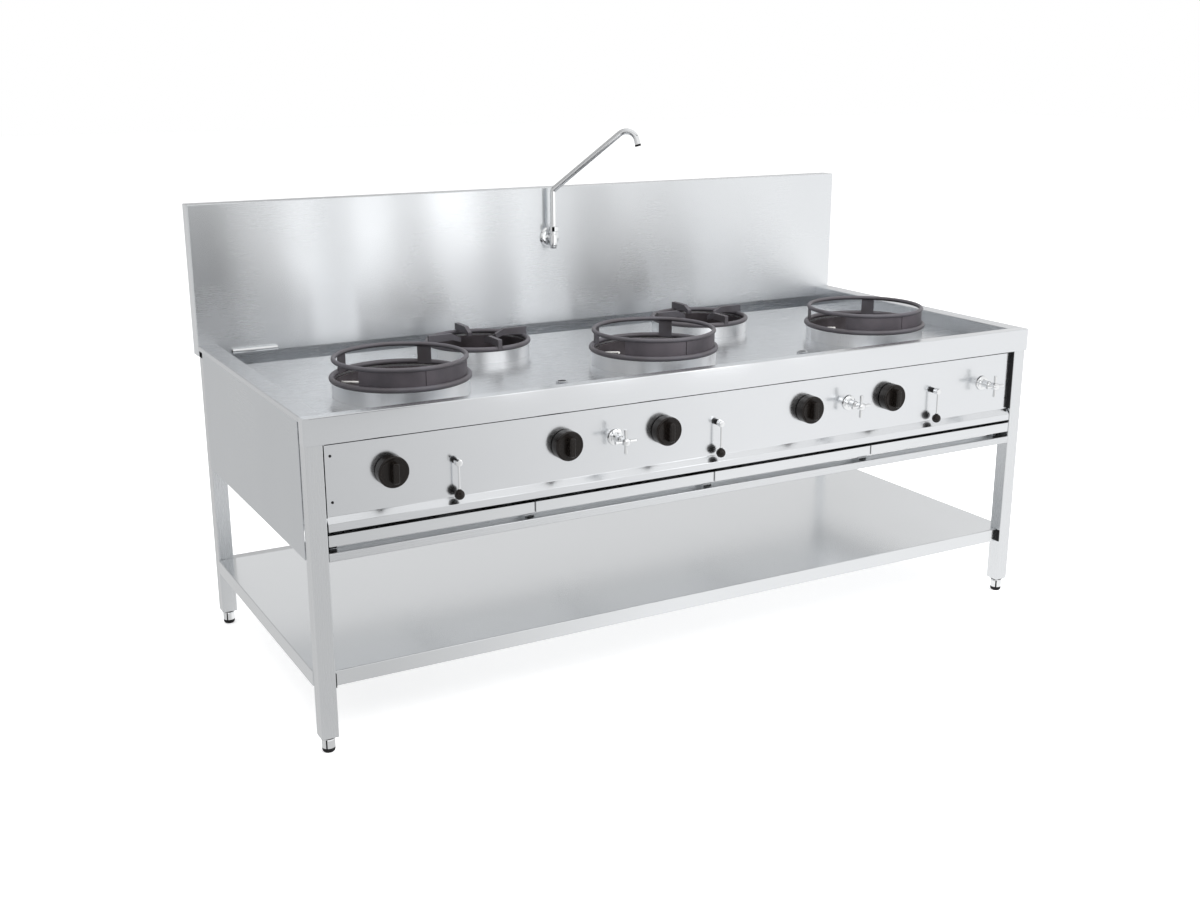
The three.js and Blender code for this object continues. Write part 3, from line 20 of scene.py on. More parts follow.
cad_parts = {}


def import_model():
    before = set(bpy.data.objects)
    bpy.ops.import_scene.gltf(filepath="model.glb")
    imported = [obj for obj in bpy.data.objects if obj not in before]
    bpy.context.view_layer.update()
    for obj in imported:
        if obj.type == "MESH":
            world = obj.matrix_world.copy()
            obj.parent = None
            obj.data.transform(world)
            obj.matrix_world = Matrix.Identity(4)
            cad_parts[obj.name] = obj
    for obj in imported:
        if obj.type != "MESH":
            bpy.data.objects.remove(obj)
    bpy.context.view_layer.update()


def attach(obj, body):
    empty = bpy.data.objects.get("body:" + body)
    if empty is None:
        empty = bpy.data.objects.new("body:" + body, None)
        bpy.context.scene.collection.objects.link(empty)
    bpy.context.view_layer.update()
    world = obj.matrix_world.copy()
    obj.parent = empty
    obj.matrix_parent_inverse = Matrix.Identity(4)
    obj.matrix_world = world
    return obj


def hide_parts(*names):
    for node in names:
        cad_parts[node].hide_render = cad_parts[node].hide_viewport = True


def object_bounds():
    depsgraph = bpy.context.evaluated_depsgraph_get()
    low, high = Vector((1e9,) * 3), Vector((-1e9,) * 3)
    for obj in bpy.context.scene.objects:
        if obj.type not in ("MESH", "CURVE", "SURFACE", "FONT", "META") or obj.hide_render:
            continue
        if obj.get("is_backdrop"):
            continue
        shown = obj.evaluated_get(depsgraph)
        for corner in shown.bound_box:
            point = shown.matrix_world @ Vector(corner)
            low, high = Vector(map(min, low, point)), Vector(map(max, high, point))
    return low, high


log = logging.getLogger("wok_range")

Point = Sequence[float]
Pair = tuple[float, float]
Triple = tuple[float, float, float]
Socket = bpy.types.NodeSocket
MM = 0.001
STAND = "stand"
SIDES = ((-1, "left"), (1, "right"))
STATIONS = ("left", "middle", "right")

# Sheet, fold radius and seams, then how finely a mesh is cleaned and shaded.
SHEET = 1.5
FOLD = 2.2
SEAM = 0.3
MERGE = 0.01
SLIVER = 0.005
SHARP_ANGLE = 32.0

# Places that several pieces share.
HALF_WIDTH = 1100.0
RIM_TOP = 825.0
DECK_TOP = 781.0
SPLASH_FACE = 946.0
BACK = 1000.0
PANEL_FACE = 17.0
LEG_INNER = 1055.0
LEG_OUTER = 1097.0
LEG_MIDDLE = 1076.0
LEG = 42.0
BETWEEN_LEGS = 1054.7
LEG_REAR = 46.3
REAR_LEG_FRONT = 908.7
WOK_X = (-744.0, 0.0, 744.0)
WOK_Y = 319.0
PAN_X = (-376.0, 376.0)
PAN_Y = 665.0
GAS_Z = 676.0
LEVER_Z = 675.0
TAP_Z = 675.0
MOUTH_Y = 156.0


class Axis(Enum):
    """Direction of a bar, a turned piece or a grain."""

    X = 0
    Y = 1
    Z = 2


class Slot(Enum):
    """Material slots that a finish can name."""

    STEEL = "brushed_steel"
    LEGS = "leg_steel"
    CHROME = "chrome"
    CAST = "burner_iron"
    RING = "ring_iron"
    BRASS = "brass"
    PLASTIC = "knob_plastic"


class Layout:
    """Place of the layout's origin in the frame."""

    shift_y: float = 0.0

    @classmethod
    def measure(cls) -> None:
        """Reads the shift from the frame's rear face."""
        cls.shift_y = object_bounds()[1].y - BACK * MM

    @classmethod
    def at(cls, point: Point) -> Vector:
        """A layout point in the frame, in metres."""
        return Vector((point[0] * MM, point[1] * MM + cls.shift_y, point[2] * MM))

    @classmethod
    def matrix(cls) -> Matrix:
        """The layout in the frame."""
        return Matrix.Translation((0, cls.shift_y, 0)) @ Matrix.Scale(MM, 4)


# ---------------------------------------------------------------- outlines


def bend(before: Vector, corner: Vector, after: Vector, radius: float, steps: int) -> list[Vector]:
    """Points of the arc that rounds a corner.

    Args:
        before: The point before the corner.
        corner: The corner.
        after: The point after it.
        radius: The arc's radius.
        steps: Segments of the arc.

    Returns:
        The arc's points, from one side of the corner to the other.
    """
    back, on = (before - corner).normalized(), (after - corner).normalized()
    half = back.angle(on) / 2
    centre = corner + (back + on).normalized() * radius / math.sin(half)
    start, end = (corner + way * radius / math.tan(half) - centre for way in (back, on))
    turn = math.pi - 2 * half
    points: list[Vector] = []
    for k in range(steps + 1):
        a = turn * k / steps
        points.append(centre + (start * math.sin(turn - a) + end * math.sin(a)) / math.sin(turn))
    return points


def rounded(points: Sequence[Point], radius: float, steps: int = 4,
            closed: bool = False) -> list[Vector]:
    """Rounds the corners of a flat line.

    Args:
        points: The corners, as pairs.
        radius: Radius of each rounded corner.
        steps: Segments per corner.
        closed: Whether the line closes on itself.

    Returns:
        The points of the rounded line.
    """
    corners = [Vector(p) for p in points]
    count = len(corners)
    line: list[Vector] = []
    for i, corner in enumerate(corners):
        if not closed and i in (0, count - 1):
            line.append(corner)
        else:
            line += bend(corners[i - 1], corner, corners[(i + 1) % count], radius, steps)
    return line


def route(corners: Sequence[Point], radii: float | Sequence[float], steps: int = 8) -> list[Vector]:
    """A path in space whose corners are rounded.

    Args:
        corners: The path's corners.
        radii: One radius for every bend, or one for each.
        steps: Segments per bend.

    Returns:
        The path's points.
    """
    knots = [Vector(c) for c in corners]
    bends = len(knots) - 2
    each = [radii] * bends if isinstance(radii, (int, float)) else radii
    path = [knots[0]]
    for i, radius in zip(range(1, bends + 1), each):
        path += bend(knots[i - 1], knots[i], knots[i + 1], radius, steps)
    return path + [knots[-1]]


def inset(line: Sequence[Vector], distance: float, closed: bool = True) -> list[Vector]:
    """Moves a flat line to its left, with mitred corners.

    Args:
        line: The line's points.
        distance: How far it moves.
        closed: Whether the line closes on itself.

    Returns:
        The points of the moved line.
    """
    count = len(line)
    moved: list[Vector] = []
    for i, point in enumerate(line):
        ways: list[Vector] = []
        if closed or i > 0:
            ways.append((point - line[i - 1]).normalized())
        if closed or i < count - 1:
            ways.append((line[(i + 1) % count] - point).normalized())
        lefts = [Vector((-w.y, w.x)) for w in ways]
        middle = sum(lefts, Vector((0, 0))).normalized()
        moved.append(point + middle * distance / max(middle.dot(lefts[0]), 0.3))
    return moved


def sheet_section(path: Sequence[Point], left: bool) -> list[Vector]:
    """Closed section of a folded sheet that lies to the left or the right of its outer face."""
    outer = rounded(path, FOLD)
    return outer + inset(outer, SHEET if left else -SHEET, closed=False)[::-1]


def box_outline(low: Point, high: Point, radius: float, steps: int = 4) -> list[Vector]:
    """A rectangle with rounded corners, anticlockwise."""
    corners = [(low[0], low[1]), (high[0], low[1]), (high[0], high[1]), (low[0], high[1])]
    return rounded(corners, radius, steps, closed=True)


def mirrored(line: Iterable[Point], side: int) -> list[Pair]:
    """The same line on the given side of the range."""
    return [(side * p[0], p[1]) for p in line]


def arc(radius: float, start: float, end: float, steps: int) -> list[Pair]:
    """Points on an arc about the origin, between two angles in degrees."""
    angles = [math.radians(start + (end - start) * k / steps) for k in range(steps + 1)]
    return [(radius * math.cos(a), radius * math.sin(a)) for a in angles]


def circle(centre: Point, radius: float, count: int) -> list[Pair]:
    """Points evenly round a circle."""
    turns = [math.tau * k / count for k in range(count)]
    return [(radius * math.cos(a) + centre[0], radius * math.sin(a) + centre[1]) for a in turns]


def rod(radius: float, low: float, high: float) -> list[Pair]:
    """Profile of a plain round bar."""
    return [(0, low), (radius, low), (radius, high), (0, high)]


# ---------------------------------------------------------------- shapes


class Shape:
    """A mesh under construction, in layout millimetres."""

    def __init__(self, name: str) -> None:
        """Starts an empty shape."""
        self.name = name
        self.bm = bmesh.new()

    def skin(self, rows: Sequence[Sequence[Point]], wrap: bool = False, loop: bool = True) -> Shape:
        """Joins rows of points with faces.

        Args:
            rows: Rows with the same number of points.
            wrap: Whether the last row joins the first, instead of both being filled.
            loop: Whether each row closes on itself.

        Returns:
            The shape.
        """
        verts = [[self.bm.verts.new(Vector(p)) for p in row] for row in rows]
        for low, high in zip(verts, verts[1:] + ([verts[0]] if wrap else [])):
            count = len(low)
            for i in range(count if loop else count - 1):
                j = (i + 1) % count
                self.bm.faces.new((low[i], low[j], high[j], high[i]))
        if not wrap:
            self.bm.faces.new(verts[0][::-1])
            self.bm.faces.new(verts[-1])
        return self

    @staticmethod
    def lift(point: Point, axis: Axis, along: float) -> Vector:
        """A section's point at a place along an axis.

        Args:
            point: The point, as a pair.
            axis: The axis that the section stands across.
            along: The place along it.

        Returns:
            The point in space.
        """
        spot = [point[0], point[1]]
        spot.insert(axis.value, along)
        return Vector(spot)

    def prism(self, section: Sequence[Point], axis: Axis, start: float, end: float) -> Shape:
        """A bar of constant section along an axis."""
        return self.skin([[self.lift(p, axis, along) for p in section] for along in (start, end)])

    def hollow(self, outer: Sequence[Point], inner: Sequence[Point], axis: Axis, start: float,
               end: float) -> Shape:
        """A tube open at both ends."""
        loops = ((outer, start), (outer, end), (inner, end), (inner, start))
        return self.skin([[self.lift(p, axis, z) for p in line] for line, z in loops], wrap=True)

    def tube_bar(self, low: Point, high: Point, axis: Axis, wall: float = 2.0,
                 radius: float = 2.5) -> Shape:
        """A rectangular tube.

        Args:
            low: One corner.
            high: The opposite corner.
            axis: The tube's direction.
            wall: Its wall thickness.
            radius: Radius of its outer edges.

        Returns:
            The shape.
        """
        low, high = zip(*(sorted(pair) for pair in zip(low, high)))
        across = [i for i in range(3) if i != axis.value]
        a, b = [low[i] for i in across], [high[i] for i in across]
        inner = box_outline([c + wall for c in a], [c - wall for c in b], max(radius - wall, 0.4))
        outer = box_outline(a, b, radius)
        return self.hollow(outer, inner, axis, low[axis.value], high[axis.value])

    def block(self, low: Point, high: Point, radius: float) -> Shape:
        """A block with its edges eased.

        Args:
            low: One corner.
            high: The opposite corner.
            radius: How far the edges are eased.

        Returns:
            The shape.
        """
        part = bmesh.new()
        size = Vector([abs(b - a) for a, b in zip(low, high)])
        middle = Vector([(a + b) / 2 for a, b in zip(low, high)])
        bmesh.ops.create_cube(part, size=1, matrix=Matrix.LocRotScale(middle, None, size))
        bmesh.ops.bevel(part, geom=part.edges[:], offset=radius, segments=2, profile=0.5,
                        affect="EDGES")
        return self.take(part)

    def take(self, part: bmesh.types.BMesh) -> Shape:
        """Adds another mesh and frees it.

        Args:
            part: The other mesh.

        Returns:
            The shape.
        """
        mesh = bpy.data.meshes.new("part")
        part.to_mesh(mesh)
        part.free()
        self.bm.from_mesh(mesh)
        bpy.data.meshes.remove(mesh)
        return self

    def lathe(self, profile: Sequence[Point], centre: Point = (0, 0, 0), axis: Axis = Axis.Z,
              sign: int = 1, segments: int = 64) -> Shape:
        """Turns a profile round an axis.

        Args:
            profile: Radius and height of each point; closed unless both ends are on the axis.
            centre: Where height zero is.
            axis: The axis that heights run along.
            sign: Direction of the heights along the axis.
            segments: Facets round the axis.

        Returns:
            The shape.
        """
        rows = []
        for k in range(segments):
            angle = math.tau * k / segments
            row = []
            for radius, height in profile:
                flat = (radius * math.cos(angle), radius * math.sin(angle))
                row.append(self.lift(flat, axis, sign * height) + Vector(centre))
            rows.append(row)
        loop = not profile[0][0] == profile[-1][0] == 0
        return self.skin(rows, wrap=True, loop=loop)

    def tube(self, path: Sequence[Point], radius: float, bore: float = 0.0,
             segments: int = 24) -> Shape:
        """A round bar or pipe along a path.

        Args:
            path: The middle line.
            radius: Outer radius.
            bore: Inner radius of a pipe that is open at both ends.
            segments: Facets round the path.

        Returns:
            The shape.
        """
        points = [Vector(p) for p in path]
        ways = [(b - a).normalized() for a, b in zip(points, points[1:])]
        joints = [(a + b).normalized() for a, b in zip(ways, ways[1:])]
        tangents = [ways[0], *joints, ways[-1]]
        turns = [math.tau * k / segments for k in range(segments)]
        normal = tangents[0].orthogonal().normalized()
        outer, inner = [], []
        for i, (spot, tangent) in enumerate(zip(points, tangents)):
            if i:
                normal = tangents[i - 1].rotation_difference(tangent) @ normal
            other = tangent.cross(normal)
            ring = [normal * math.cos(t) + other * math.sin(t) for t in turns]
            outer.append([spot + way * radius for way in ring])
            inner.append([spot + way * bore for way in ring])
        if bore:
            return self.skin(outer + inner[::-1], wrap=True)
        return self.skin(outer)

    def pan(self, outline: Sequence[Vector], face: float, rim: float) -> Shape:
        """A folded pan with a flat face and walls to its rim.

        Args:
            outline: The walls' outline, anticlockwise.
            face: Height of the flat outer face.
            rim: Height of the open rim.

        Returns:
            The shape.
        """
        steps, way = 4, 1 if rim > face else -1
        rows: list[list[Point]] = []
        for depth, radius, order in ((0.0, FOLD, 1), (SHEET, FOLD - SHEET, -1)):
            part = []
            for k in range(steps + 1):
                a = math.pi / 2 * k / steps
                drop = depth + radius * (1 - math.cos(a))
                away = depth + radius * (1 - math.sin(a))
                part.append([(p.x, p.y, face + way * drop) for p in inset(outline, away)])
            part.append([(p.x, p.y, rim) for p in inset(outline, depth)])
            rows += part[::order]
        return self.skin(rows)

    def plate(self, outline: Sequence[Point], holes: Iterable[Triple], low: float,
              high: float) -> Shape:
        """A flat plate with round holes.

        Args:
            outline: The plate's corners.
            holes: Centre and radius of each hole.
            low: Height of the underside.
            high: Height of the top.

        Returns:
            The shape.
        """
        facets = 72
        curve = bpy.data.curves.new("plate", "CURVE")
        curve.dimensions, curve.fill_mode, curve.extrude = "2D", "BOTH", (high - low) / 2
        for ring in [list(outline), *(circle((x, y), radius, facets) for x, y, radius in holes)]:
            spline = curve.splines.new("POLY")
            spline.points.add(len(ring) - 1)
            spline.use_cyclic_u = True
            for spot, point in zip(spline.points, ring):
                spot.co = (point[0], point[1], 0, 1)
        scratch = linked("plate", curve)
        mesh = evaluated(scratch)
        mesh.transform(Matrix.Translation((0, 0, (low + high) / 2)))
        self.bm.from_mesh(mesh)
        bpy.data.objects.remove(scratch)
        bpy.data.curves.remove(curve)
        return self

    def moved(self, matrix: Matrix) -> Shape:
        """Moves the whole shape."""
        self.bm.transform(matrix)
        return self

    def raw(self) -> bpy.types.Object:
        """Closes the mesh and makes the object, still in layout millimetres.

        Returns:
            The object, in the scene.
        """
        bmesh.ops.remove_doubles(self.bm, verts=self.bm.verts[:], dist=MERGE)
        bmesh.ops.dissolve_degenerate(self.bm, edges=self.bm.edges[:], dist=SLIVER)
        bmesh.ops.recalc_face_normals(self.bm, faces=self.bm.faces[:])
        mesh = bpy.data.meshes.new(self.name)
        self.bm.to_mesh(mesh)
        self.bm.free()
        return linked(self.name, mesh)

    def build(self, drills: Shape | None = None) -> bpy.types.Object:
        """Makes the object, in the frame's metres.

        Args:
            drills: A shape that is cut out of this one.

        Returns:
            The object, at the origin.
        """
        obj = self.raw()
        if drills is not None:
            cutter = drills.raw()
            modifier = obj.modifiers.new("drill", "BOOLEAN")
            modifier.object, modifier.solver = cutter, "EXACT"
            bake(obj)
            bpy.data.objects.remove(cutter)
        obj.data.transform(Layout.matrix())
        finish_mesh(obj)
        return obj

    def dress(self, finish: Finish, *nodes: str, body: str = STAND,
              drills: Shape | None = None) -> None:
        """Builds the object and dresses it as a piece."""
        dress(self.build(drills), finish, *nodes, body=body)


def linked(name: str, data: bpy.types.ID) -> bpy.types.Object:
    """A new object in the scene.

    Args:
        name: Its name.
        data: Its mesh, curve, light or camera.

    Returns:
        The object.
    """
    obj = bpy.data.objects.new(name, data)
    bpy.context.scene.collection.objects.link(obj)
    return obj


def evaluated(obj: bpy.types.Object) -> bpy.types.Mesh:
    """An object's mesh with its modifiers applied."""
    graph = bpy.context.evaluated_depsgraph_get()
    return bpy.data.meshes.new_from_object(obj.evaluated_get(graph))


def bake(obj: bpy.types.Object) -> None:
    """Turns an object's modifiers into a plain mesh.

    Args:
        obj: The object.
    """
    bpy.context.view_layer.update()
    mesh = evaluated(obj)
    mesh.name = obj.name
    obj.modifiers.clear()
    obj.data = mesh


def finish_mesh(obj: bpy.types.Object) -> None:
    """Shades an object smooth between its sharp edges, with its flat faces kept flat.

    Args:
        obj: The object.
    """
    obj.data.shade_smooth()
    obj.data.set_sharp_from_angle(angle=math.radians(SHARP_ANGLE))
    modifier = obj.modifiers.new("flats", "WEIGHTED_NORMAL")
    modifier.mode, modifier.weight, modifier.keep_sharp = "FACE_AREA", 100, True
    bake(obj)


# ---------------------------------------------------------------- node graphs


class Graph:
    """Short notation for building a node tree."""

    def __init__(self, tree: bpy.types.NodeTree) -> None:
        """Wraps a tree."""
        self.tree = tree

    def add(self, kind: str, inputs: dict[Any, Any] | None = None,
            **settings: Any) -> bpy.types.Node:
        """Adds a node.

        Args:
            kind: The node's type.
            inputs: A value or a socket for inputs, by name or number.
            settings: The node's own properties.

        Returns:
            The node.
        """
        node = self.tree.nodes.new(kind)
        for name, value in settings.items():
            setattr(node, name, value)
        for name, value in (inputs or {}).items():
            if isinstance(value, Socket):
                self.link(value, node.inputs[name])
            else:
                node.inputs[name].default_value = value
        return node

    def link(self, value: Socket, target: Socket) -> None:
        """Joins an output to an input."""
        self.tree.links.new(value, target)

    def first(self, kind: str, inputs: dict[Any, Any] | None = None, **settings: Any) -> Socket:
        """The first output of a new node."""
        return self.add(kind, inputs, **settings).outputs[0]

    def math(self, operation: str, *values: Socket | float) -> Socket:
        """One sum on its values."""
        return self.first("ShaderNodeMath", dict(enumerate(values)), operation=operation)

    def blend(self, factor: Socket, off: Socket | float, on: Socket | float) -> Socket:
        """A value that goes from one to another as the factor rises."""
        return self.first("ShaderNodeMix", {0: factor, 2: off, 3: on})

    def ramp(self, value: Socket, low: float, high: float, start: float = 0.3,
             end: float = 0.7) -> Socket:
        """Maps a value's range onto another."""
        inputs = {"From Min": start, "From Max": end, "To Min": low, "To Max": high}
        return self.add("ShaderNodeMapRange", {"Value": value, **inputs}).outputs["Result"]

    def noise(self, vector: Socket, scale: Point | float, detail: float = 3.0) -> Socket:
        """Noise on a vector.

        Args:
            vector: The coordinates.
            scale: One scale for all axes, or one for each.
            detail: The noise's detail.

        Returns:
            The noise value.
        """
        scales = (scale,) * 3 if isinstance(scale, (int, float)) else scale
        mapping = self.first("ShaderNodeMapping", {"Vector": vector, "Scale": scales})
        inputs = {"Vector": mapping, "Scale": 1.0, "Detail": detail}
        return self.add("ShaderNodeTexNoise", inputs).outputs["Fac"]

    @classmethod
    def material(cls, name: str) -> tuple[bpy.types.Material, Graph]:
        """A new material with nodes.

        Args:
            name: Its name.

        Returns:
            The material and its graph.
        """
        material = bpy.data.materials.new(name)
        material.use_nodes = True
        return material, cls(material.node_tree)


# ---------------------------------------------------------------- finishes


@dataclass(frozen=True)
class Finish:
    """A procedural finish on object coordinates."""

    name: str
    color: Triple
    rough: float
    slot: Slot | None = None
    metallic: float = 1.0

    def material(self) -> bpy.types.Material:
        """The Blender material, made once.

        Returns:
            The material.
        """
        found = bpy.data.materials.get(self.name)
        if found:
            return found
        material, graph = Graph.material(self.name)
        shader = graph.tree.nodes["Principled BSDF"]
        shader.inputs["Base Color"].default_value = (*self.color, 1)
        shader.inputs["Metallic"].default_value = self.metallic
        shader.inputs["Roughness"].default_value = self.rough
        coords = graph.add("ShaderNodeTexCoord").outputs["Object"]
        self.detail(graph, shader.inputs, coords)
        return material

    def detail(self, graph: Graph, inputs: Any, coords: Socket) -> None:
        """Adds smudges to the gloss."""
        self.gloss(graph, inputs, graph.noise(coords, 9), 0.85, 1.2)

    def gloss(self, graph: Graph, inputs: Any, value: Socket, low: float, high: float) -> None:
        """Varies the roughness between two shares of itself."""
        graph.link(graph.ramp(value, self.rough * low, self.rough * high), inputs["Roughness"])

    @staticmethod
    def tint(graph: Graph, inputs: Any, factor: Socket, low: Triple, high: Triple) -> None:
        """Blends the base colour between two colours.

        Args:
            graph: The material's graph.
            inputs: The shader's inputs.
            factor: What goes from the one to the other.
            low: The colour at 0.
            high: The colour at 1.
        """
        ends = {0: factor, 6: (*low, 1), 7: (*high, 1)}
        mix = graph.add("ShaderNodeMix", ends, data_type="RGBA")
        graph.link(mix.outputs[2], inputs["Base Color"])

    @staticmethod
    def bump(graph: Graph, inputs: Any, height: Socket, strength: float, distance: float) -> None:
        """Adds a fine relief."""
        relief = {"Height": height, "Strength": strength, "Distance": distance}
        graph.link(graph.first("ShaderNodeBump", relief), inputs["Normal"])


@dataclass(frozen=True)
class BrushedSteel(Finish):
    """Stainless sheet with a fine grain."""

    slot: Slot | None = Slot.STEEL
    grain: Axis = Axis.X
    streak: float = 0.015
    relief: float = 0.02
    stretch: float = 0.0
    across: float = 1500.0
    along: float = 12.0
    cloud: float = 2.2

    def detail(self, graph: Graph, inputs: Any, coords: Socket) -> None:
        """Adds the grain to the colour, the gloss and the relief.

        Args:
            graph: The material's graph.
            inputs: The shader's inputs.
            coords: Object coordinates.
        """
        scale = [self.across] * 3
        scale[self.grain.value] = self.along
        grain = graph.noise(coords, scale, 2.0)
        cloud = graph.noise(coords, self.cloud, 4.0)
        low = tuple(c * (1 - self.streak) for c in self.color)
        high = tuple(min(c * (1 + self.streak), 1.0) for c in self.color)
        self.tint(graph, inputs, graph.ramp(grain, 0.0, 1.0), low, high)
        lines = graph.ramp(grain, -8 * self.streak, 8 * self.streak)
        wear = graph.math("ADD", lines, graph.ramp(cloud, 0.9, 1.1))
        graph.link(graph.math("MULTIPLY", wear, self.rough), inputs["Roughness"])
        self.bump(graph, inputs, grain, self.relief, 0.0001)
        inputs["Anisotropic"].default_value = self.stretch
        inputs["Anisotropic Rotation"].default_value = 0.25


@dataclass(frozen=True)
class CastIron(Finish):
    """Cast iron with a sandy skin and heat stains."""

    stain: Triple = (0.03, 0.022, 0.024)
    pit: float = 0.25

    def detail(self, graph: Graph, inputs: Any, coords: Socket) -> None:
        """Adds pits, stains and uneven gloss.

        Args:
            graph: The material's graph.
            inputs: The shader's inputs.
            coords: Object coordinates.
        """
        sand = graph.noise(coords, 700, 5.0)
        cloud = graph.noise(coords, 14, 5.0)
        stains = graph.ramp(cloud, 0.0, 1.0, 0.35, 0.65)
        self.tint(graph, inputs, stains, self.stain, self.color)
        self.gloss(graph, inputs, cloud, 0.8, 1.15)
        self.bump(graph, inputs, sand, self.pit, 0.0004)


@dataclass(frozen=True)
class Moulded(Finish):
    """Moulded plastic, rubber or ceramic with a fine grain."""

    metallic: float = 0.0

    def detail(self, graph: Graph, inputs: Any, coords: Socket) -> None:
        """Adds a leathery grain and a change of sheen.

        Args:
            graph: The material's graph.
            inputs: The shader's inputs.
            coords: Object coordinates.
        """
        grain = graph.noise(coords, 1500, 2.0)
        self.gloss(graph, inputs, graph.noise(coords, 30), 0.8, 1.25)
        self.bump(graph, inputs, grain, 0.08, 0.0001)
        inputs["Specular IOR Level"].default_value = 0.25


# One stainless steel whose colour is set lighter or darker per piece to match how brightly each
# shows, with the sides darkest and the splashback and collars lightest. This is painted shade and
# painted light.
DECK_STEEL = BrushedSteel("deck_steel", (0.72, 0.735, 0.755), 0.26)
FRONT_STEEL = BrushedSteel("front_steel", (0.755, 0.77, 0.79), 0.2)
PANEL_STEEL = BrushedSteel("panel_steel", (0.755, 0.77, 0.79), 0.2, relief=0.01)
SPLASH_STEEL = BrushedSteel("splash_steel", (0.81, 0.83, 0.85), 0.27, streak=0.003, relief=0.002,
                            stretch=0.95)
SIDE_STEEL = BrushedSteel("side_steel", (0.67, 0.69, 0.71), 0.3, grain=Axis.Y, streak=0.008,
                          relief=0.01)
LEG_STEEL = BrushedSteel("leg_tube_steel", (0.74, 0.755, 0.77), 0.26, Slot.LEGS, grain=Axis.Z)
RAIL_STEEL = BrushedSteel("rail_steel", (0.72, 0.735, 0.75), 0.28, Slot.LEGS)
TRAY_STEEL = BrushedSteel("tray_steel", (0.76, 0.775, 0.79), 0.2)
SHELF_STEEL = BrushedSteel("shelf_steel", (0.77, 0.785, 0.8), 0.2)
COLLAR_STEEL = BrushedSteel("collar_steel", (0.93, 0.94, 0.95), 0.32, grain=Axis.Z)
CHROME = Finish("polished_chrome", (0.82, 0.83, 0.84), 0.05, Slot.CHROME)
SPIGOT_CHROME = replace(CHROME, slot=Slot.STEEL)
BURNER_IRON = CastIron("burner_cast_iron", (0.06, 0.052, 0.058), 0.66, Slot.CAST, 0.3,
                       stain=(0.02, 0.016, 0.018))
RING_STEEL = CastIron("ring_steel", (0.125, 0.12, 0.135), 0.5, Slot.RING, 0.4,
                      stain=(0.1, 0.092, 0.1), pit=0.1)
SHIELD_STEEL = CastIron("shield_steel", (0.13, 0.115, 0.13), 0.5, Slot.RING, 0.5,
                        stain=(0.085, 0.078, 0.088), pit=0.1)
BRASS = Finish("plain_brass", (0.62, 0.47, 0.22), 0.3, Slot.BRASS)
PIPE_STEEL = Finish("pipe_steel", (0.55, 0.56, 0.57), 0.3, Slot.BRASS)
BLACK_PLASTIC = Moulded("knob_bakelite", (0.009, 0.007, 0.006), 0.24, Slot.PLASTIC)
# Black rubber for plugs, feet, screw heads and sleeves; the same black also paints shade on the
# shade strips.
BLACK_RUBBER_AND_SHADE = Moulded("black_rubber", (0.010, 0.010, 0.011), 0.6)
CERAMIC = Moulded("white_ceramic", (0.8, 0.79, 0.76), 0.3)


def dress(obj: bpy.types.Object, finish: Finish, *nodes: str, body: str = STAND) -> None:
    """Gives a piece its finish, its body and the CAD nodes it stands for.

    Args:
        obj: The piece.
        finish: Its finish.
        nodes: CAD nodes that it replaces.
        body: The CAD body it moves with.
    """
    obj.data.materials.clear()
    obj.data.materials.append(finish.material())
    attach(obj, body)
    if nodes:
        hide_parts(*nodes)
    log.info("%s on %s", obj.name, body)


def dress_node(node: str, finish: Finish) -> None:
    """Gives a CAD node that stays its finish.

    Args:
        node: The node's name.
        finish: Its finish.
    """
    obj = bpy.data.objects[node]
    obj.data.materials.clear()
    obj.data.materials.append(finish.material())


# ---------------------------------------------------------------- repeats


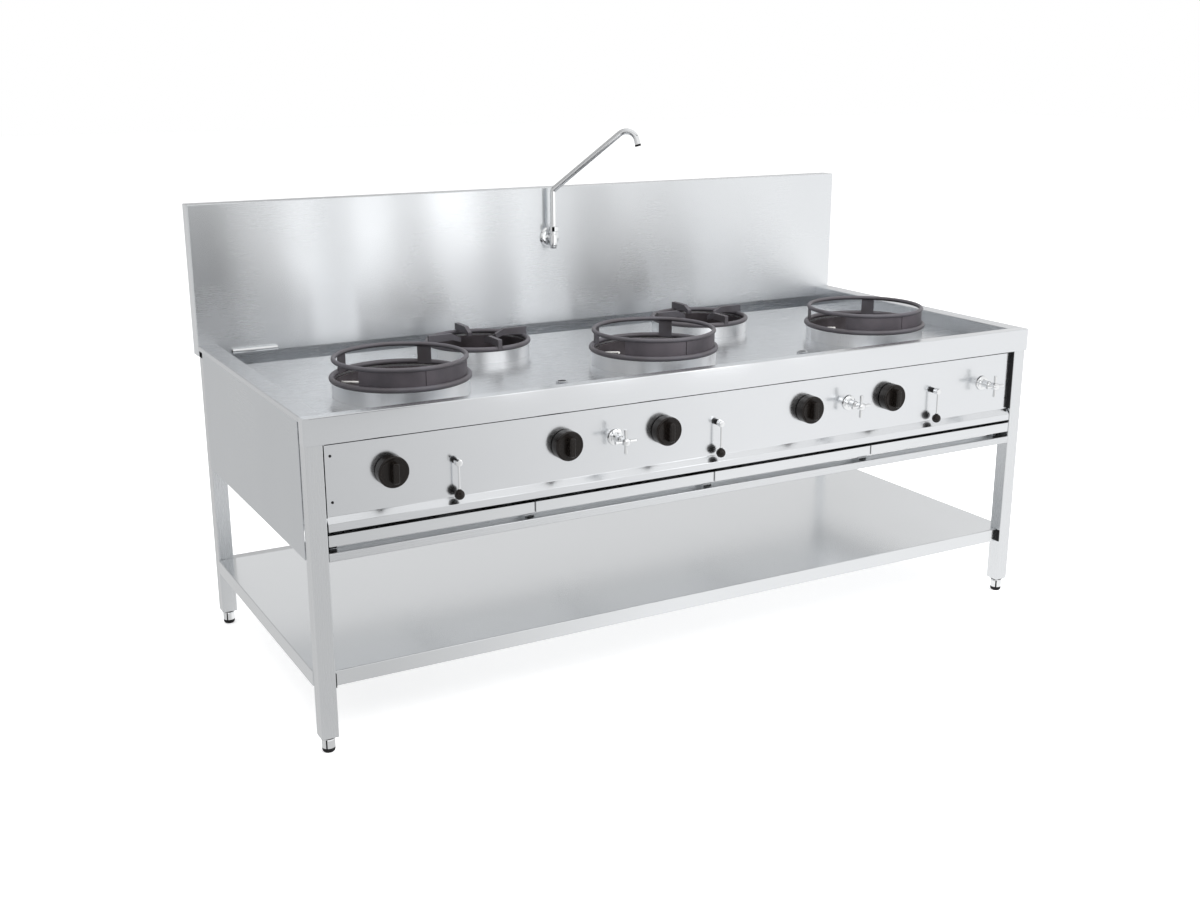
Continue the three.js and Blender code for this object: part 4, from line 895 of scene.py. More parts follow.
class Repeat:
    """Geometry nodes that repeat a part, and the plain mesh that they bake to."""

    name: ClassVar[str]
    sizes: ClassVar[dict[str, str]] = {}

    @classmethod
    def branches(cls, graph: Graph, source: Any) -> list[Socket]:
        """What the tree joins."""
        raise NotImplementedError

    @staticmethod
    def copies(graph: Graph, part: Socket, inputs: dict[str, Socket]) -> Socket:
        """The part on every point."""
        shape = graph.add("GeometryNodeObjectInfo", {"Object": part}).outputs["Geometry"]
        return graph.first("GeometryNodeInstanceOnPoints", {"Instance": shape, **inputs})

    @classmethod
    def tree(cls) -> bpy.types.NodeTree:
        """The node group, made once.

        Returns:
            The group.
        """
        found = bpy.data.node_groups.get(cls.name)
        if found:
            return found
        tree = bpy.data.node_groups.new(cls.name, "GeometryNodeTree")
        sockets = tree.interface
        sockets.new_socket("Geometry", in_out="OUTPUT", socket_type="NodeSocketGeometry")
        kinds = {"Geometry": "Geometry", **cls.sizes, "Part": "Object", "Material": "Material"}
        for name, kind in kinds.items():
            sockets.new_socket(name, in_out="INPUT", socket_type=f"NodeSocket{kind}")
        graph = Graph(tree)
        source = graph.add("NodeGroupInput").outputs
        join = graph.add("GeometryNodeJoinGeometry")
        for piece in cls.branches(graph, source):
            graph.link(piece, join.inputs[0])
        solid = graph.first("GeometryNodeRealizeInstances", {0: join.outputs[0]})
        painted = {"Geometry": solid, "Material": source["Material"]}
        graph.add("NodeGroupOutput", {0: graph.first("GeometryNodeSetMaterial", painted)})
        return tree

    @classmethod
    def make(cls, name: str, centre: Point, part: Shape, finish: Finish,
             points: Sequence[Point] = (),
             sizes: dict[str, float] | None = None) -> bpy.types.Object:
        """Bakes one piece.

        Args:
            name: The piece's name.
            centre: Its middle, in layout millimetres.
            part: The repeated part, about its own origin.
            finish: The finish.
            points: Places of the parts from the centre, for a tree that takes them.
            sizes: The tree's own inputs, in metres and radians.

        Returns:
            The baked object.
        """
        stamp = part.raw()
        stamp.data.transform(Matrix.Scale(MM, 4))
        mesh = bpy.data.meshes.new(name)
        mesh.from_pydata([Vector(p) * MM for p in points], [], [])
        obj = linked(name, mesh)
        modifier = obj.modifiers.new(cls.name, "NODES")
        modifier.node_group = cls.tree()
        values = {"Part": stamp, "Material": finish.material(), **(sizes or {})}
        for item in modifier.node_group.interface.items_tree:
            if item.name in values and item.in_out == "INPUT":
                modifier[item.identifier] = values[item.name]
        bake(obj)
        bpy.data.objects.remove(stamp)
        obj.data.transform(Matrix.Translation(Layout.at(centre)))
        finish_mesh(obj)
        return obj


class Studs(Repeat):
    """A stud on every point."""

    name = "studs"

    @classmethod
    def branches(cls, graph: Graph, source: Any) -> list[Socket]:
        """The studs."""
        return [cls.copies(graph, source["Part"], {"Points": source["Geometry"]})]


class Rings(Repeat):
    """Two bent round bars, with a part set round them at a step."""

    name = "burner_ring"
    lengths = ("Radius", "Bar", "Height", "Upper Radius", "Upper Bar", "Upper Height")
    sizes = {**dict.fromkeys((*lengths, "First", "Step"), "Float"), "Count": "Int"}

    @classmethod
    def values(cls, lengths: Sequence[float], count: int, first: float,
               step: float) -> dict[str, float]:
        """The tree's inputs, from the bars' millimetres and the parts' count and degrees."""
        bars = dict(zip(cls.lengths, (length * MM for length in lengths)))
        return {**bars, "Count": count, "First": math.radians(first), "Step": math.radians(step)}

    @staticmethod
    def bar(graph: Graph, radius: Socket, bar: Socket, height: Socket) -> Socket:
        """A bent round bar at a height.

        Args:
            graph: The tree's graph.
            radius: Radius of the bend.
            bar: Radius of the bar.
            height: Its height.

        Returns:
            The bar's mesh.
        """
        way, section = (
            graph.first("GeometryNodeCurvePrimitiveCircle", {"Resolution": facets, "Radius": size})
            for facets, size in ((96, radius), (20, bar)))
        swept = graph.first("GeometryNodeCurveToMesh", {0: way, 1: section})
        up = graph.first("ShaderNodeCombineXYZ", {"Z": height})
        return graph.first("GeometryNodeTransform", {"Geometry": swept, "Translation": up})

    @classmethod
    def branches(cls, graph: Graph, source: Any) -> list[Socket]:
        """The two bars and the parts round them.

        Args:
            graph: The tree's graph.
            source: The tree's inputs.

        Returns:
            The three branches.
        """
        bars = [cls.bar(graph, *(source[name] for name in names))
                for names in (cls.lengths[:3], cls.lengths[3:])]
        line = {"Count": source["Count"], "Offset": (0, 0, 0)}
        points = graph.first("GeometryNodeMeshLine", line)
        index = graph.first("GeometryNodeInputIndex")
        turn = graph.math("MULTIPLY_ADD", index, source["Step"], source["First"])
        angle = graph.first("ShaderNodeCombineXYZ", {"Z": turn})
        return [*bars, cls.copies(graph, source["Part"], {"Points": points, "Rotation": angle})]


# ---------------------------------------------------------------- worktop


@dataclass
class Worktop:
    """Apron, side rims, deck and gutter."""

    apron_bottom: float = 760.0
    hem: float = 12.0
    front_rim: float = 32.0
    side_rim: float = 52.0
    lip: float = 13.0
    deck_reach: float = 1052.0
    wok_hole: float = 173.3
    pan_hole: float = 146.3
    port_hole: float = 11.5
    port: Pair = (379.0, 142.0)
    gutter_reach: float = 1049.5
    gutter_front: float = 840.0
    gutter_floor: float = 741.0
    gutter_rear_top: float = 793.7
    drain: Pair = (-940.0, 893.0)
    drain_radius: float = 18.0

    def build(self) -> None:
        """Makes the pieces."""
        self.apron()
        for side, name in SIDES:
            self.rim(side, name)
        self.deck()
        self.gutter()

    def apron(self) -> None:
        """The front rim, folded down into the apron, with closed ends."""
        rear, bottom = self.front_rim, self.apron_bottom
        path = [(self.hem, bottom), (0, bottom), (0, RIM_TOP), (rear, RIM_TOP),
                (rear, DECK_TOP + SEAM)]
        shape = Shape("front_apron_sheet")
        shape.prism(sheet_section(path, left=False), Axis.X, -HALF_WIDTH + 1, HALF_WIDTH - 1)
        for side, _ in SIDES:
            inner = side * (HALF_WIDTH - SHEET)
            shape.block((side * HALF_WIDTH, 0.1, bottom), (inner, rear, RIM_TOP - 0.1), 0.7)
        shape.dress(FRONT_STEEL, "front_apron")

    def rim(self, side: int, name: str) -> None:
        """One side's rim.

        Args:
            side: -1 or 1.
            name: The side's name.
        """
        inner = HALF_WIDTH - self.side_rim
        path = [(HALF_WIDTH, RIM_TOP - self.lip), (HALF_WIDTH, RIM_TOP), (inner, RIM_TOP),
                (inner, DECK_TOP + SEAM)]
        section = mirrored(sheet_section(path, left=True), side)
        shape = Shape(f"side_rim_{name}_sheet")
        shape.prism(section, Axis.Y, self.front_rim + SEAM, SPLASH_FACE - SEAM)
        shape.dress(DECK_STEEL, f"side_rim_{name}")

    def deck(self) -> None:
        """The deck with burner holes and two raised ports."""
        reach, front, rear = self.deck_reach, self.front_rim - 4, self.gutter_front - SEAM
        outline = [(-reach, front), (reach, front), (reach, rear), (-reach, rear)]
        x, y = self.port
        holes = [(wok, WOK_Y, self.wok_hole) for wok in WOK_X]
        holes += [(pan, PAN_Y, self.pan_hole) for pan in PAN_X]
        holes += [(side * x, y, self.port_hole) for side, _ in SIDES]
        shape = Shape("deck_sheet").plate(outline, holes, DECK_TOP - SHEET, DECK_TOP)
        wall = [(11, -1.4), (11, 23.2), (11.8, 24), (14, 24), (15, 23), (15, 1.6), (16.5, 0.4),
                (16.5, -1.4)]
        for side, _ in SIDES:
            shape.lathe(wall, (side * x, y, DECK_TOP), segments=48)
        shape.dress(DECK_STEEL, "deck_plate")

    def gutter(self) -> None:
        """The trough behind the deck with its drain spigot."""
        front, floor, rear = self.gutter_front, self.gutter_floor - SHEET, SPLASH_FACE + SHEET
        path = [(front, DECK_TOP), (front, floor), (rear, floor), (rear, self.gutter_rear_top)]
        inside = self.gutter_reach - 0.1
        shape = Shape("rear_gutter_trough")
        shape.prism(sheet_section(path, left=True), Axis.X, -inside, inside)
        for side, _ in SIDES:
            inner = side * (self.gutter_reach - SHEET)
            shape.block((side * self.gutter_reach, front, floor), (inner, rear, DECK_TOP), 0.5)
        centre, radius = (*self.drain, floor), self.drain_radius
        hole = Shape("drain_hole").lathe(rod(radius, -9, 9), centre)
        shape.dress(DECK_STEEL, "rear_gutter", drills=hole)
        wall = [(radius, -40), (radius + 2, -40), (radius + 2, -0.2), (radius, -0.2)]
        Shape("drain_spigot").lathe(wall, centre).dress(SPIGOT_CHROME)


@dataclass
class Splashback:
    """The folded box behind the worktop, with a hole for each pipe."""

    bottom: float = 794.0
    top: float = 1212.0
    holes: tuple[Triple, ...] = ((0.0, 1060.0, 8.3), (-893.0, 801.0, 4.8))

    def build(self) -> None:
        """Makes the box."""
        outline = box_outline((-HALF_WIDTH, SPLASH_FACE), (HALF_WIDTH, BACK), 2.6)
        holes = Shape("splash_holes")
        for x, z, radius in self.holes:
            holes.lathe(rod(radius, -8, 8), (x, SPLASH_FACE, z), Axis.Y, segments=32)
        shape = Shape("splashback_box").pan(outline, self.top, self.bottom)
        shape.dress(SPLASH_STEEL, "splashback", drills=holes)


# ---------------------------------------------------------------- stand


@dataclass
class Stand:
    """Legs, feet, rails, undershelf and runners."""

    leg_low: float = 41.0
    stem_pitch: float = 1.5
    stem_turns: int = 40
    rail: Pair = (480.0, 501.0)
    shelf: Pair = (165.0, 203.0)
    shelf_reach: float = 1099.0
    shelf_depth: Pair = (20.0, 936.0)
    runner: Pair = (501.3, 515.3)
    runner_pitch: float = 527.5
    runner_half: float = 15.0
    rows: tuple[tuple[str, float, float], ...] = (("front", 4.0, 823.2), ("rear", 909.0, 793.7))

    def build(self) -> None:
        """Makes the pieces."""
        for side, name in SIDES:
            for row, y, top in self.rows:
                self.leg(side, f"{row}_{name}", y, top)
                self.foot(f"foot_{row}_{name}", (side * LEG_MIDDLE, y + LEG / 2, 0.0))
            self.side_rail(side, name)
            dress_node(f"side_panel_{name}", SIDE_STEEL)
        dress_node("back_panel", SIDE_STEEL)
        for row, y, _ in self.rows:
            ends = (-BETWEEN_LEGS, y, self.rail[0]), (BETWEEN_LEGS, y + LEG, self.rail[1])
            Shape(f"{row}_rail_tube").tube_bar(*ends, Axis.X).dress(RAIL_STEEL, f"{row}_rail")
        self.undershelf()
        self.runners()

    def leg(self, side: int, name: str, y: float, top: float) -> None:
        """A square tube leg with a dark plug in its lower end.

        Args:
            side: -1 or 1.
            name: The leg's row and side.
            y: Its front face.
            top: Its upper end.
        """
        low, high = (side * LEG_OUTER, y, self.leg_low), (side * LEG_INNER, y + LEG, top)
        tube = Shape(f"leg_{name}_tube").tube_bar(low, high, Axis.Z)
        tube.dress(LEG_STEEL, f"leg_{name}")
        middle = (side * LEG_MIDDLE, y + LEG / 2, self.leg_low)
        ring = [(6.3, 0.3), (17, 0.3), (18.9, 1.5), (18.9, 5.5), (6.3, 5.5)]
        Shape(f"leg_{name}_plug").lathe(ring, middle, segments=40).dress(BLACK_RUBBER_AND_SHADE)

    def foot(self, body: str, centre: Point) -> None:
        """A bullet foot with a dark tip and flange and a threaded stem.

        Args:
            body: The foot's body and CAD node.
            centre: Where it stands.
        """
        turns = [math.radians(10 * k) for k in range(1, 10)]
        curve = [(11 + 5 * math.sin(a), 10 - 9.5 * math.cos(a)) for a in turns]
        tip = [(0, 0), (9.5, 0), (11.3, 0.5), *curve, (16, 11.6), (15.4, 12), (0, 12)]
        bullet = [(0, 12), (15.4, 12), (16, 12.4), (16, 30), (15.4, 33), (13.6, 36.4), (0, 36.4)]
        flange = [(0, 36.4), (17.2, 36.4), (18, 37.2), (18, 39.9), (17.2, 40.7), (0, 40.7)]
        stem: list[Pair] = [(0, 40.6)]
        for k in range(self.stem_turns):
            low = 40.6 + self.stem_pitch * k
            stem += [(5.9, low), (5.2, low + self.stem_pitch / 2)]
        stem.append((0, 100.7))
        for part, profile, segments, finish, nodes in (
                ("tip", tip, 48, BLACK_RUBBER_AND_SHADE, ()), ("bullet", bullet, 48, CHROME, (body,)),
                ("flange", flange, 40, BLACK_RUBBER_AND_SHADE, ()), ("stem", stem, 24, CHROME, ())):
            shape = Shape(f"{body}_{part}").lathe(profile, centre, segments=segments)
            shape.dress(finish, *nodes, body=body)

    def side_rail(self, side: int, name: str) -> None:
        """The tube between a side's legs.

        Args:
            side: -1 or 1.
            name: The side's name.
        """
        low = (side * LEG_OUTER, LEG_REAR, self.rail[0])
        high = (side * LEG_MIDDLE, REAR_LEG_FRONT, self.rail[1])
        shape = Shape(f"side_rail_{name}_tube").tube_bar(low, high, Axis.Y)
        shape.dress(RAIL_STEEL, f"side_rail_{name}")

    def undershelf(self) -> None:
        """The shelf, notched round the legs, with its lips turned down, and black strips at its
        ends that paint the shade between it and the legs.
        """
        low, high = self.shelf
        front, rear = self.shelf_depth
        a, b = BETWEEN_LEGS, self.shelf_reach
        half = [(a, front), (a, LEG_REAR), (b, LEG_REAR), (b, REAR_LEG_FRONT),
                (a, REAR_LEG_FRONT), (a, rear)]
        outline = rounded(half + [(-x, y) for x, y in reversed(half)], 2.4, 3, closed=True)
        Shape("undershelf_pan").pan(outline, high, low).dress(SHELF_STEEL, "undershelf")
        # Painted shade: the black strips stand for the shaded gaps where the shelf meets the legs.
        strips = Shape("undershelf_seals")
        for side, _ in SIDES:
            strips.block((side * 1052.4, 6.0, low + 1), (side * 1054.9, 19.6, high - 1.5), 0.5)
        strips.dress(BLACK_RUBBER_AND_SHADE)

    def runners(self) -> None:
        """The bars that the trays slide on, with a dark plug at each seam between trays and, at the
        outer bars, a black block that paints the shade on the legs' inner faces.
        """
        low, high = self.runner
        z = (low + high) / 2
        shape = Shape("tray_runner_bars").block((-1053.7, 54, 502.3), (1053.7, 68, 510.3), 1.0)
        plugs_and_shade = Shape("tray_runner_plugs")
        for k in range(5):
            centre = -LEG_INNER + k * self.runner_pitch
            a = max(centre - self.runner_half, -BETWEEN_LEGS)
            b = min(centre + self.runner_half, BETWEEN_LEGS)
            shape.tube_bar((a, 38.0, low), (b, 917.0, high), Axis.Y, 1.5, 1.6)
            # Painted shade: at the two outer bars a black block stands for the shaded inner face of
            # the leg; the inner bars get real plugs.
            if k in (0, 4):
                side = math.copysign(1, centre)
                plugs_and_shade.block((side * 1026, 32, z - 6), (side * 1054.4, 37.5, z + 6), 1.2)
            else:
                x = (a + b) / 2
                plugs_and_shade.block((x - 9, 39, z - 1.6), (x + 9, 47, z + 1.6), 0.5)
                plugs_and_shade.block((x - 1.8, 38.5, z - 5.2), (x + 1.8, 47, z + 5.2), 0.5)
        shape.dress(RAIL_STEEL, "tray_runners")
        plugs_and_shade.dress(BLACK_RUBBER_AND_SHADE)


@dataclass
class ControlPanel:
    """The folded front panel, the black strips that paint the shade below and beside it, and its
    screws.
    """

    reach: float = 1052.5
    top: float = 779.2
    fold: float = 585.0
    nose: Pair = (570.0, 551.0)
    nose_y: float = 4.0
    shade_reach: float = 1052.0
    hem: Pair = (758.0, 759.8)
    knobs: tuple[float, ...] = (-895.0, -438.0, -151.0, 306.0, 593.0)
    levers: tuple[float, ...] = (-732.0, 12.0, 756.0)
    taps: tuple[float, ...] = (-295.0, 449.0, 944.0)
    stem_hole: float = 5.0
    tap_hole: float = 16.0
    screws: tuple[Pair, ...] = ((-1036.0, 728.0), (-1036.0, 618.0), (1045.0, 728.0),
                                (1045.0, 618.0))

    def build(self) -> None:
        """Makes the panel, its painted shade strips and its screws."""
        self.sheet()
        self.shade_strips()
        head = [(0, 0.1), (3.4, 0.1), (3.4, -0.6), (2.9, -1.3), (1.2, -1.7), (0, -1.2)]
        screw = Shape("screw_head").lathe(head, axis=Axis.Y, segments=20)
        points = [(x, 0, z) for x, z in self.screws]
        screws = Studs.make("panel_screws", (0, PANEL_FACE, 0), screw, BLACK_RUBBER_AND_SHADE, points)
        dress(screws, BLACK_RUBBER_AND_SHADE)

    def sheet(self) -> None:
        """The folded sheet with a hole for each stem."""
        upper, lower = self.nose
        path = [(35, self.top), (PANEL_FACE, self.top), (PANEL_FACE, self.fold),
                (self.nose_y, upper), (self.nose_y, lower), (22, lower)]
        shape = Shape("control_panel_sheet")
        shape.prism(sheet_section(path, left=True), Axis.X, -self.reach, self.reach)
        spots = [(x, GAS_Z, self.stem_hole) for x in self.knobs]
        spots += [(x, LEVER_Z, self.stem_hole) for x in self.levers]
        spots += [(x, TAP_Z, self.tap_hole) for x in self.taps]
        holes = Shape("panel_holes")
        for x, z, radius in spots:
            holes.lathe(rod(radius, -8, 8), (x, PANEL_FACE, z), Axis.Y, segments=32)
        shape.dress(PANEL_STEEL, "control_panel", drills=holes)

    def shade_strips(self) -> None:
        """Black strips that paint the shade in the slot below the panel, under the apron's hem and
        in the gaps at both ends.
        """
        reach, low = self.shade_reach, self.nose[1]
        # Painted shade: black blocks stand for the dark slot behind the panel's nose, the shadow
        # line under the apron's hem and the shaded gaps by the legs.
        shade_strip = Shape("panel_seal").block((-reach, 23.0, low - 6.8), (reach, 27.0, low + 14), 0.8)
        shade_strip.block((-reach, 2.0, self.hem[0]), (reach, 16.7, self.hem[1]), 0.3)
        for side, _ in SIDES:
            shade_strip.block((side * 1053.0, 4.8, 586.0), (side * 1054.9, 16.8, 757.5), 0.4)
        shade_strip.dress(BLACK_RUBBER_AND_SHADE)


@dataclass
class DripTrays:
    """Four shallow trays that slide out to the front."""

    pitch: float = 527.5
    gap: float = 1.2
    depth: Pair = (4.0, 883.7)
    height: Pair = (515.6, 543.6)

    def build(self) -> None:
        """Makes each tray on its own body."""
        for k in range(4):
            low = -LEG_INNER + k * self.pitch + self.gap
            high = low + self.pitch - 2 * self.gap
            outline = box_outline((low, self.depth[0]), (high, self.depth[1]), 2.4)
            body = f"drip_tray_{k + 1}"
            Shape(f"{body}_pan").pan(outline, *self.height).dress(TRAY_STEEL, body, body=body)


# ---------------------------------------------------------------- burners


@dataclass
class Burner:
    """What both kinds of burner have: a sleeve, a bowl, a mixing tube and a ring."""

    station: str
    x: float
    kind: str
    ring_kind: str
    y: float
    sleeve: Triple
    seat: float
    rim: float
    tube_top: float
    tube_drop: float = 66.0
    bar: float = 7.0

    @property
    def centre(self) -> Triple:
        """The burner's axis at the floor."""
        return (self.x, self.y, 0.0)

    @property
    def node(self) -> str:
        """The burner's CAD node."""
        return f"{self.kind}_burner_{self.station}"

    @property
    def ring_node(self) -> str:
        """The lift-off ring's CAD node and body."""
        return f"{self.kind}_{self.ring_kind}_{self.station}"

    @property
    def ring_centre(self) -> Triple:
        """Middle of the ring's lower bar, which lies on the sleeve's edge."""
        return (self.x, self.y, self.sleeve[2] + self.bar * math.cos(math.pi / 6) + SEAM)

    def build(self) -> None:
        """Makes the station's pieces."""
        self.collar()
        self.bowl()
        self.mixing_tube()
        self.ring()

    def bowl(self) -> None:
        """Makes the bowl and what stands in it."""
        raise NotImplementedError

    def ring(self) -> None:
        """Makes the ring that lifts off."""
        raise NotImplementedError

    def collar(self) -> None:
        """The stainless sleeve with a rolled top edge and a seat below."""
        radius, low, top = self.sleeve
        seat = radius - 45
        profile = [(radius, low), (radius, top - 0.8), (radius - 0.4, top - 0.2), (radius - 1, top),
                   (radius - 1.6, top - 0.2), (radius - 2, top - 0.8), (radius - 2, low + 3.5),
                   (radius - 3.5, low + 2), (seat, low + 2), (seat, low)]
        name = f"{self.kind}_collar_{self.station}"
        Shape(f"{name}_sleeve").lathe(profile, self.centre, segments=96).dress(COLLAR_STEEL, name)

    def mixing_tube(self) -> None:
        """The cast tube under the burner with its flared mouth."""
        drop = self.seat - self.tube_drop
        corners = [(self.x, self.y, self.seat + self.tube_top), (self.x, self.y, drop),
                   (self.x, MOUTH_Y + 10, drop)]
        mouth = [(11, -26), (16, -26), (17, -20), (19, -8), (24, -2), (24, 0), (21, 0),
                 (17.5, -7), (11, -25)]
        shape = Shape(f"{self.node}_mixer").tube(route(corners, 30.0), 15.0, segments=32)
        shape.lathe(mouth, (self.x, MOUTH_Y, drop), Axis.Y, -1, 48).dress(BURNER_IRON)


@dataclass
class WokStation(Burner):
    """One wok burner: sleeve, cast bowl, jets and lift-off ring."""

    kind: str = "wok"
    ring_kind: str = "ring"
    y: float = WOK_Y
    sleeve: Triple = (173.0, 700.0, 818.0)
    seat: float = 702.3
    rim: float = 812.0
    tube_top: float = 11.0
    jet_rings: tuple[tuple[float, int], ...] = ((16.0, 6), (31.0, 12))
    electrode: Triple = (-121.0, 100.0, 12.0)
    electrode_way: Pair = (13.0, -96.0)
    bars: tuple[float, ...] = (172.5, 7.0, 0.0, 166.0, 6.0, 48.0)
    plate: Pair = (165.0, 168.5)
    plate_height: Pair = (-3.5, 45.0)
    post_half: float = 6.5
    post_turn: float = 137.0
    shield: Pair = (0.35, 58.0)

    def bowl(self) -> None:
        """The cast bowl, its crown on spokes, the jets and the electrode."""
        centre, node, seat, rim = self.centre, self.node, self.seat, self.rim
        inner = [(160.7, rim - 0.8), (158.5, rim - 8), (152, rim - 24), (144, rim - 40),
                 (131, rim - 60), (112, rim - 76), (90, rim - 88), (70, seat + 11),
                 (62, seat + 10), (48, seat + 10)]
        outer = [(48, seat), (143, seat), (158, seat + 17), (170.7, seat + 38), (170.7, rim - 1),
                 (169.7, rim), (161.7, rim)]
        shape = Shape(f"{node}_bowl").lathe(outer + inner, centre, segments=96)
        base = seat + 16
        crown = [(0, base - 9), (36, base - 9), (38, base - 7), (38, base - 1.5), (36.5, base),
                 (0, base)]
        shape.lathe(crown, centre, segments=64)
        for turn in (45, 135):
            spoke = Shape("spoke").block((-52, -4, seat + 1), (52, 4, seat + 9), 1.5)
            about = Matrix.Rotation(math.radians(turn), 4, "Z")
            shape.take(spoke.moved(Matrix.Translation(centre) @ about).bm)
        shape.dress(BURNER_IRON, node)
        profile = [(0, -1), (4, -1), (4, 2), (3.2, 3.5), (3, 10.4), (2.5, 11), (1.4, 11), (1.4, 7),
                   (0, 7)]
        jet = Shape("jet").lathe(profile, segments=20)
        points = [(0.0, 0.0, 0.0)]
        for radius, count in self.jet_rings:
            points += [(x, y, 0.0) for x, y in circle((0, 0), radius, count)]
        dress(Studs.make(f"{node}_jets", (self.x, self.y, base), jet, BRASS, points), BRASS)
        dx, dy, depth = self.electrode
        start = Vector((self.x + dx, self.y + dy, rim - depth))
        end = start + Vector((*self.electrode_way, depth + 5))
        Shape(f"{node}_electrode").tube([start, end], 3.4, segments=16).dress(CERAMIC)

    def ring(self) -> None:
        """The ring: two bars with posts, and two shield plates at the front."""
        node, front = self.ring_node, -90.0
        post = Shape("post").skin(self.plate_rows(-self.post_half, self.post_half))
        first = front - self.post_turn
        values = Rings.values(self.bars, 2, first, 2 * self.post_turn)
        bars = Rings.make(f"{node}_bars", self.ring_centre, post, RING_STEEL, sizes=values)
        dress(bars, RING_STEEL, node, body=node)
        shield = Shape(f"{node}_shield")
        for side, _ in SIDES:
            shield.skin(self.plate_rows(*sorted(front + side * edge for edge in self.shield)))
        shield.moved(Matrix.Translation(self.ring_centre)).dress(SHIELD_STEEL, body=node)

    def plate_rows(self, start: float, end: float) -> list[list[Point]]:
        """Rows of a curved upright plate.

        Args:
            start: Angle of one end, in degrees.
            end: Angle of the other end.

        Returns:
            The rows, about the ring's middle.
        """
        low, high = self.plate_height
        steps = max(3, round((end - start) / 3))
        inner, outer = (arc(radius, start, end, steps) for radius in self.plate)
        return [[(*b, low), (*b, high), (*a, high), (*a, low)] for a, b in zip(inner, outer)]


@dataclass
class PanStation(Burner):
    """One pan burner: sleeve, shallow bowl, ported cap and lift-off support."""

    kind: str = "pan"
    ring_kind: str = "support"
    y: float = PAN_Y
    sleeve: Triple = (146.0, 716.0, 813.0)
    seat: float = 718.3
    rim: float = 807.0
    tube_top: float = 3.0
    slots: int = 24
    fingers: int = 4
    bars: tuple[float, ...] = (143.5, 7.0, 0.0, 143.5, 6.9, 0.0)

    def bowl(self) -> None:
        """The bowl, and the cap on its neck with slots round its edge."""
        centre, seat, rim = self.centre, self.seat, self.rim
        profile = [(22, seat), (143.7, seat), (143.7, rim - 1), (142.7, rim), (139.7, rim),
                   (138.7, rim - 1), (136, seat + 35), (132, seat + 18), (124, seat + 9),
                   (113, seat + 5), (22, seat + 5)]
        shape = Shape(f"{self.node}_bowl").lathe(profile, centre, segments=96)
        cap = seat + 0.55 * (rim - seat)
        head = [(0, seat), (23, seat), (23, seat + 6), (24.2, cap - 14), (30, cap - 11),
                (43, cap - 7), (44, cap - 5), (44, cap + 5.5), (42.5, cap + 9), (38, cap + 12),
                (18, cap + 13), (0, cap + 13)]
        shape.lathe(head, centre, segments=72)
        slots = Shape("slots")
        for k in range(self.slots):
            slot = Shape("slot").block((36, -1.5, cap - 3), (50, 1.5, cap + 3), 0.3)
            turn = Matrix.Rotation(math.tau * k / self.slots, 4, "Z")
            slots.take(slot.moved(Matrix.Translation(centre) @ turn).bm)
        shape.dress(BURNER_IRON, self.node, drills=slots)

    def ring(self) -> None:
        """The ring with four bent fingers."""
        node, step = self.ring_node, 360 / self.fingers
        outline = [(140, -3.5), (136.5, 6.8), (80, 9.2), (55, 1), (55, 13), (80, 26), (150.5, 26),
                   (150.5, -3.5)]
        section = rounded(outline, 1.2, 2, closed=True)
        edges = ((-6, 0.7), (-5.3, 0), (5.3, 0), (6, 0.7))
        rows = [[(p.x, y, p.y) for p in inset(section, away)] for y, away in edges]
        values = Rings.values(self.bars, self.fingers, 0.0, step)
        ring = Rings.make(f"{node}_ring", self.ring_centre, Shape("finger").skin(rows), RING_STEEL,
                          sizes=values)
        dress(ring, RING_STEEL, node, body=node)


# ---------------------------------------------------------------- controls


@dataclass
class Knob:
    """A gas knob: round body and a grip bar across its face."""

    name: str
    x: float
    face: float = PANEL_FACE - 2
    grip: Pair = (8.5, 25.0)

    def build(self) -> None:
        """Makes the knob on its own body."""
        body = [(0, 22), (4.4, 22), (4.4, 0), (36.4, 0), (37.6, 1), (38, 3), (38, 22.5), (37.6, 25),
                (36, 26.6), (34, 27), (32.6, 26.4), (30, 26), (0, 26)]
        shape = Shape(f"{self.name}_body")
        shape.lathe(body, (self.x, self.face, GAS_Z), Axis.Y, -1, 72)
        section = box_outline([-half for half in self.grip], self.grip, 5.5, 6)
        steps = ((-25, 0), (-39.4, 0.3), (-41.6, 0.9), (-43.2, 2.2), (-44, 4))
        shape.skin([[(self.x + p.x, self.face + reach, GAS_Z + p.y) for p in inset(section, away)]
                    for reach, away in steps])
        shape.dress(BLACK_PLASTIC, self.name, body=self.name)


@dataclass
class Lever:
    """A lever cock's arm: chrome hub and rod, with a black ball at its end."""

    name: str
    x: float
    face: float = PANEL_FACE - 12
    reach: float = 79.0
    ball: float = 12.5

    def build(self) -> None:
        """Makes the lever on its own body."""
        x, y, ball = self.x, self.face - 10.6, self.ball
        hub = [(0, 10), (4.4, 10), (4.4, 0), (8.4, 0), (9, 0.6), (9, 13.5), (8.4, 14.8), (7, 15.7),
               (5.4, 16), (0, 16)]
        shape = Shape(f"{self.name}_hub").lathe(hub, (x, self.face, LEVER_Z), Axis.Y, -1, 48)
        shape.tube([(x, y, LEVER_Z - 6), (x, y, LEVER_Z - self.reach + 8)], 2.6, segments=20)
        shape.dress(CHROME, self.name, body=self.name)
        turns = [math.pi * k / 20 for k in range(1, 18)]
        profile = [(0, -ball), *((ball * math.sin(a), -ball * math.cos(a)) for a in turns),
                   (5, 11.6), (4, 13.8), (3.2, 14), (0, 14)]
        knob = Shape(f"{self.name}_ball")
        knob.lathe(profile, (x, y, LEVER_Z - self.reach), segments=40)
        knob.dress(BLACK_PLASTIC, body=self.name)


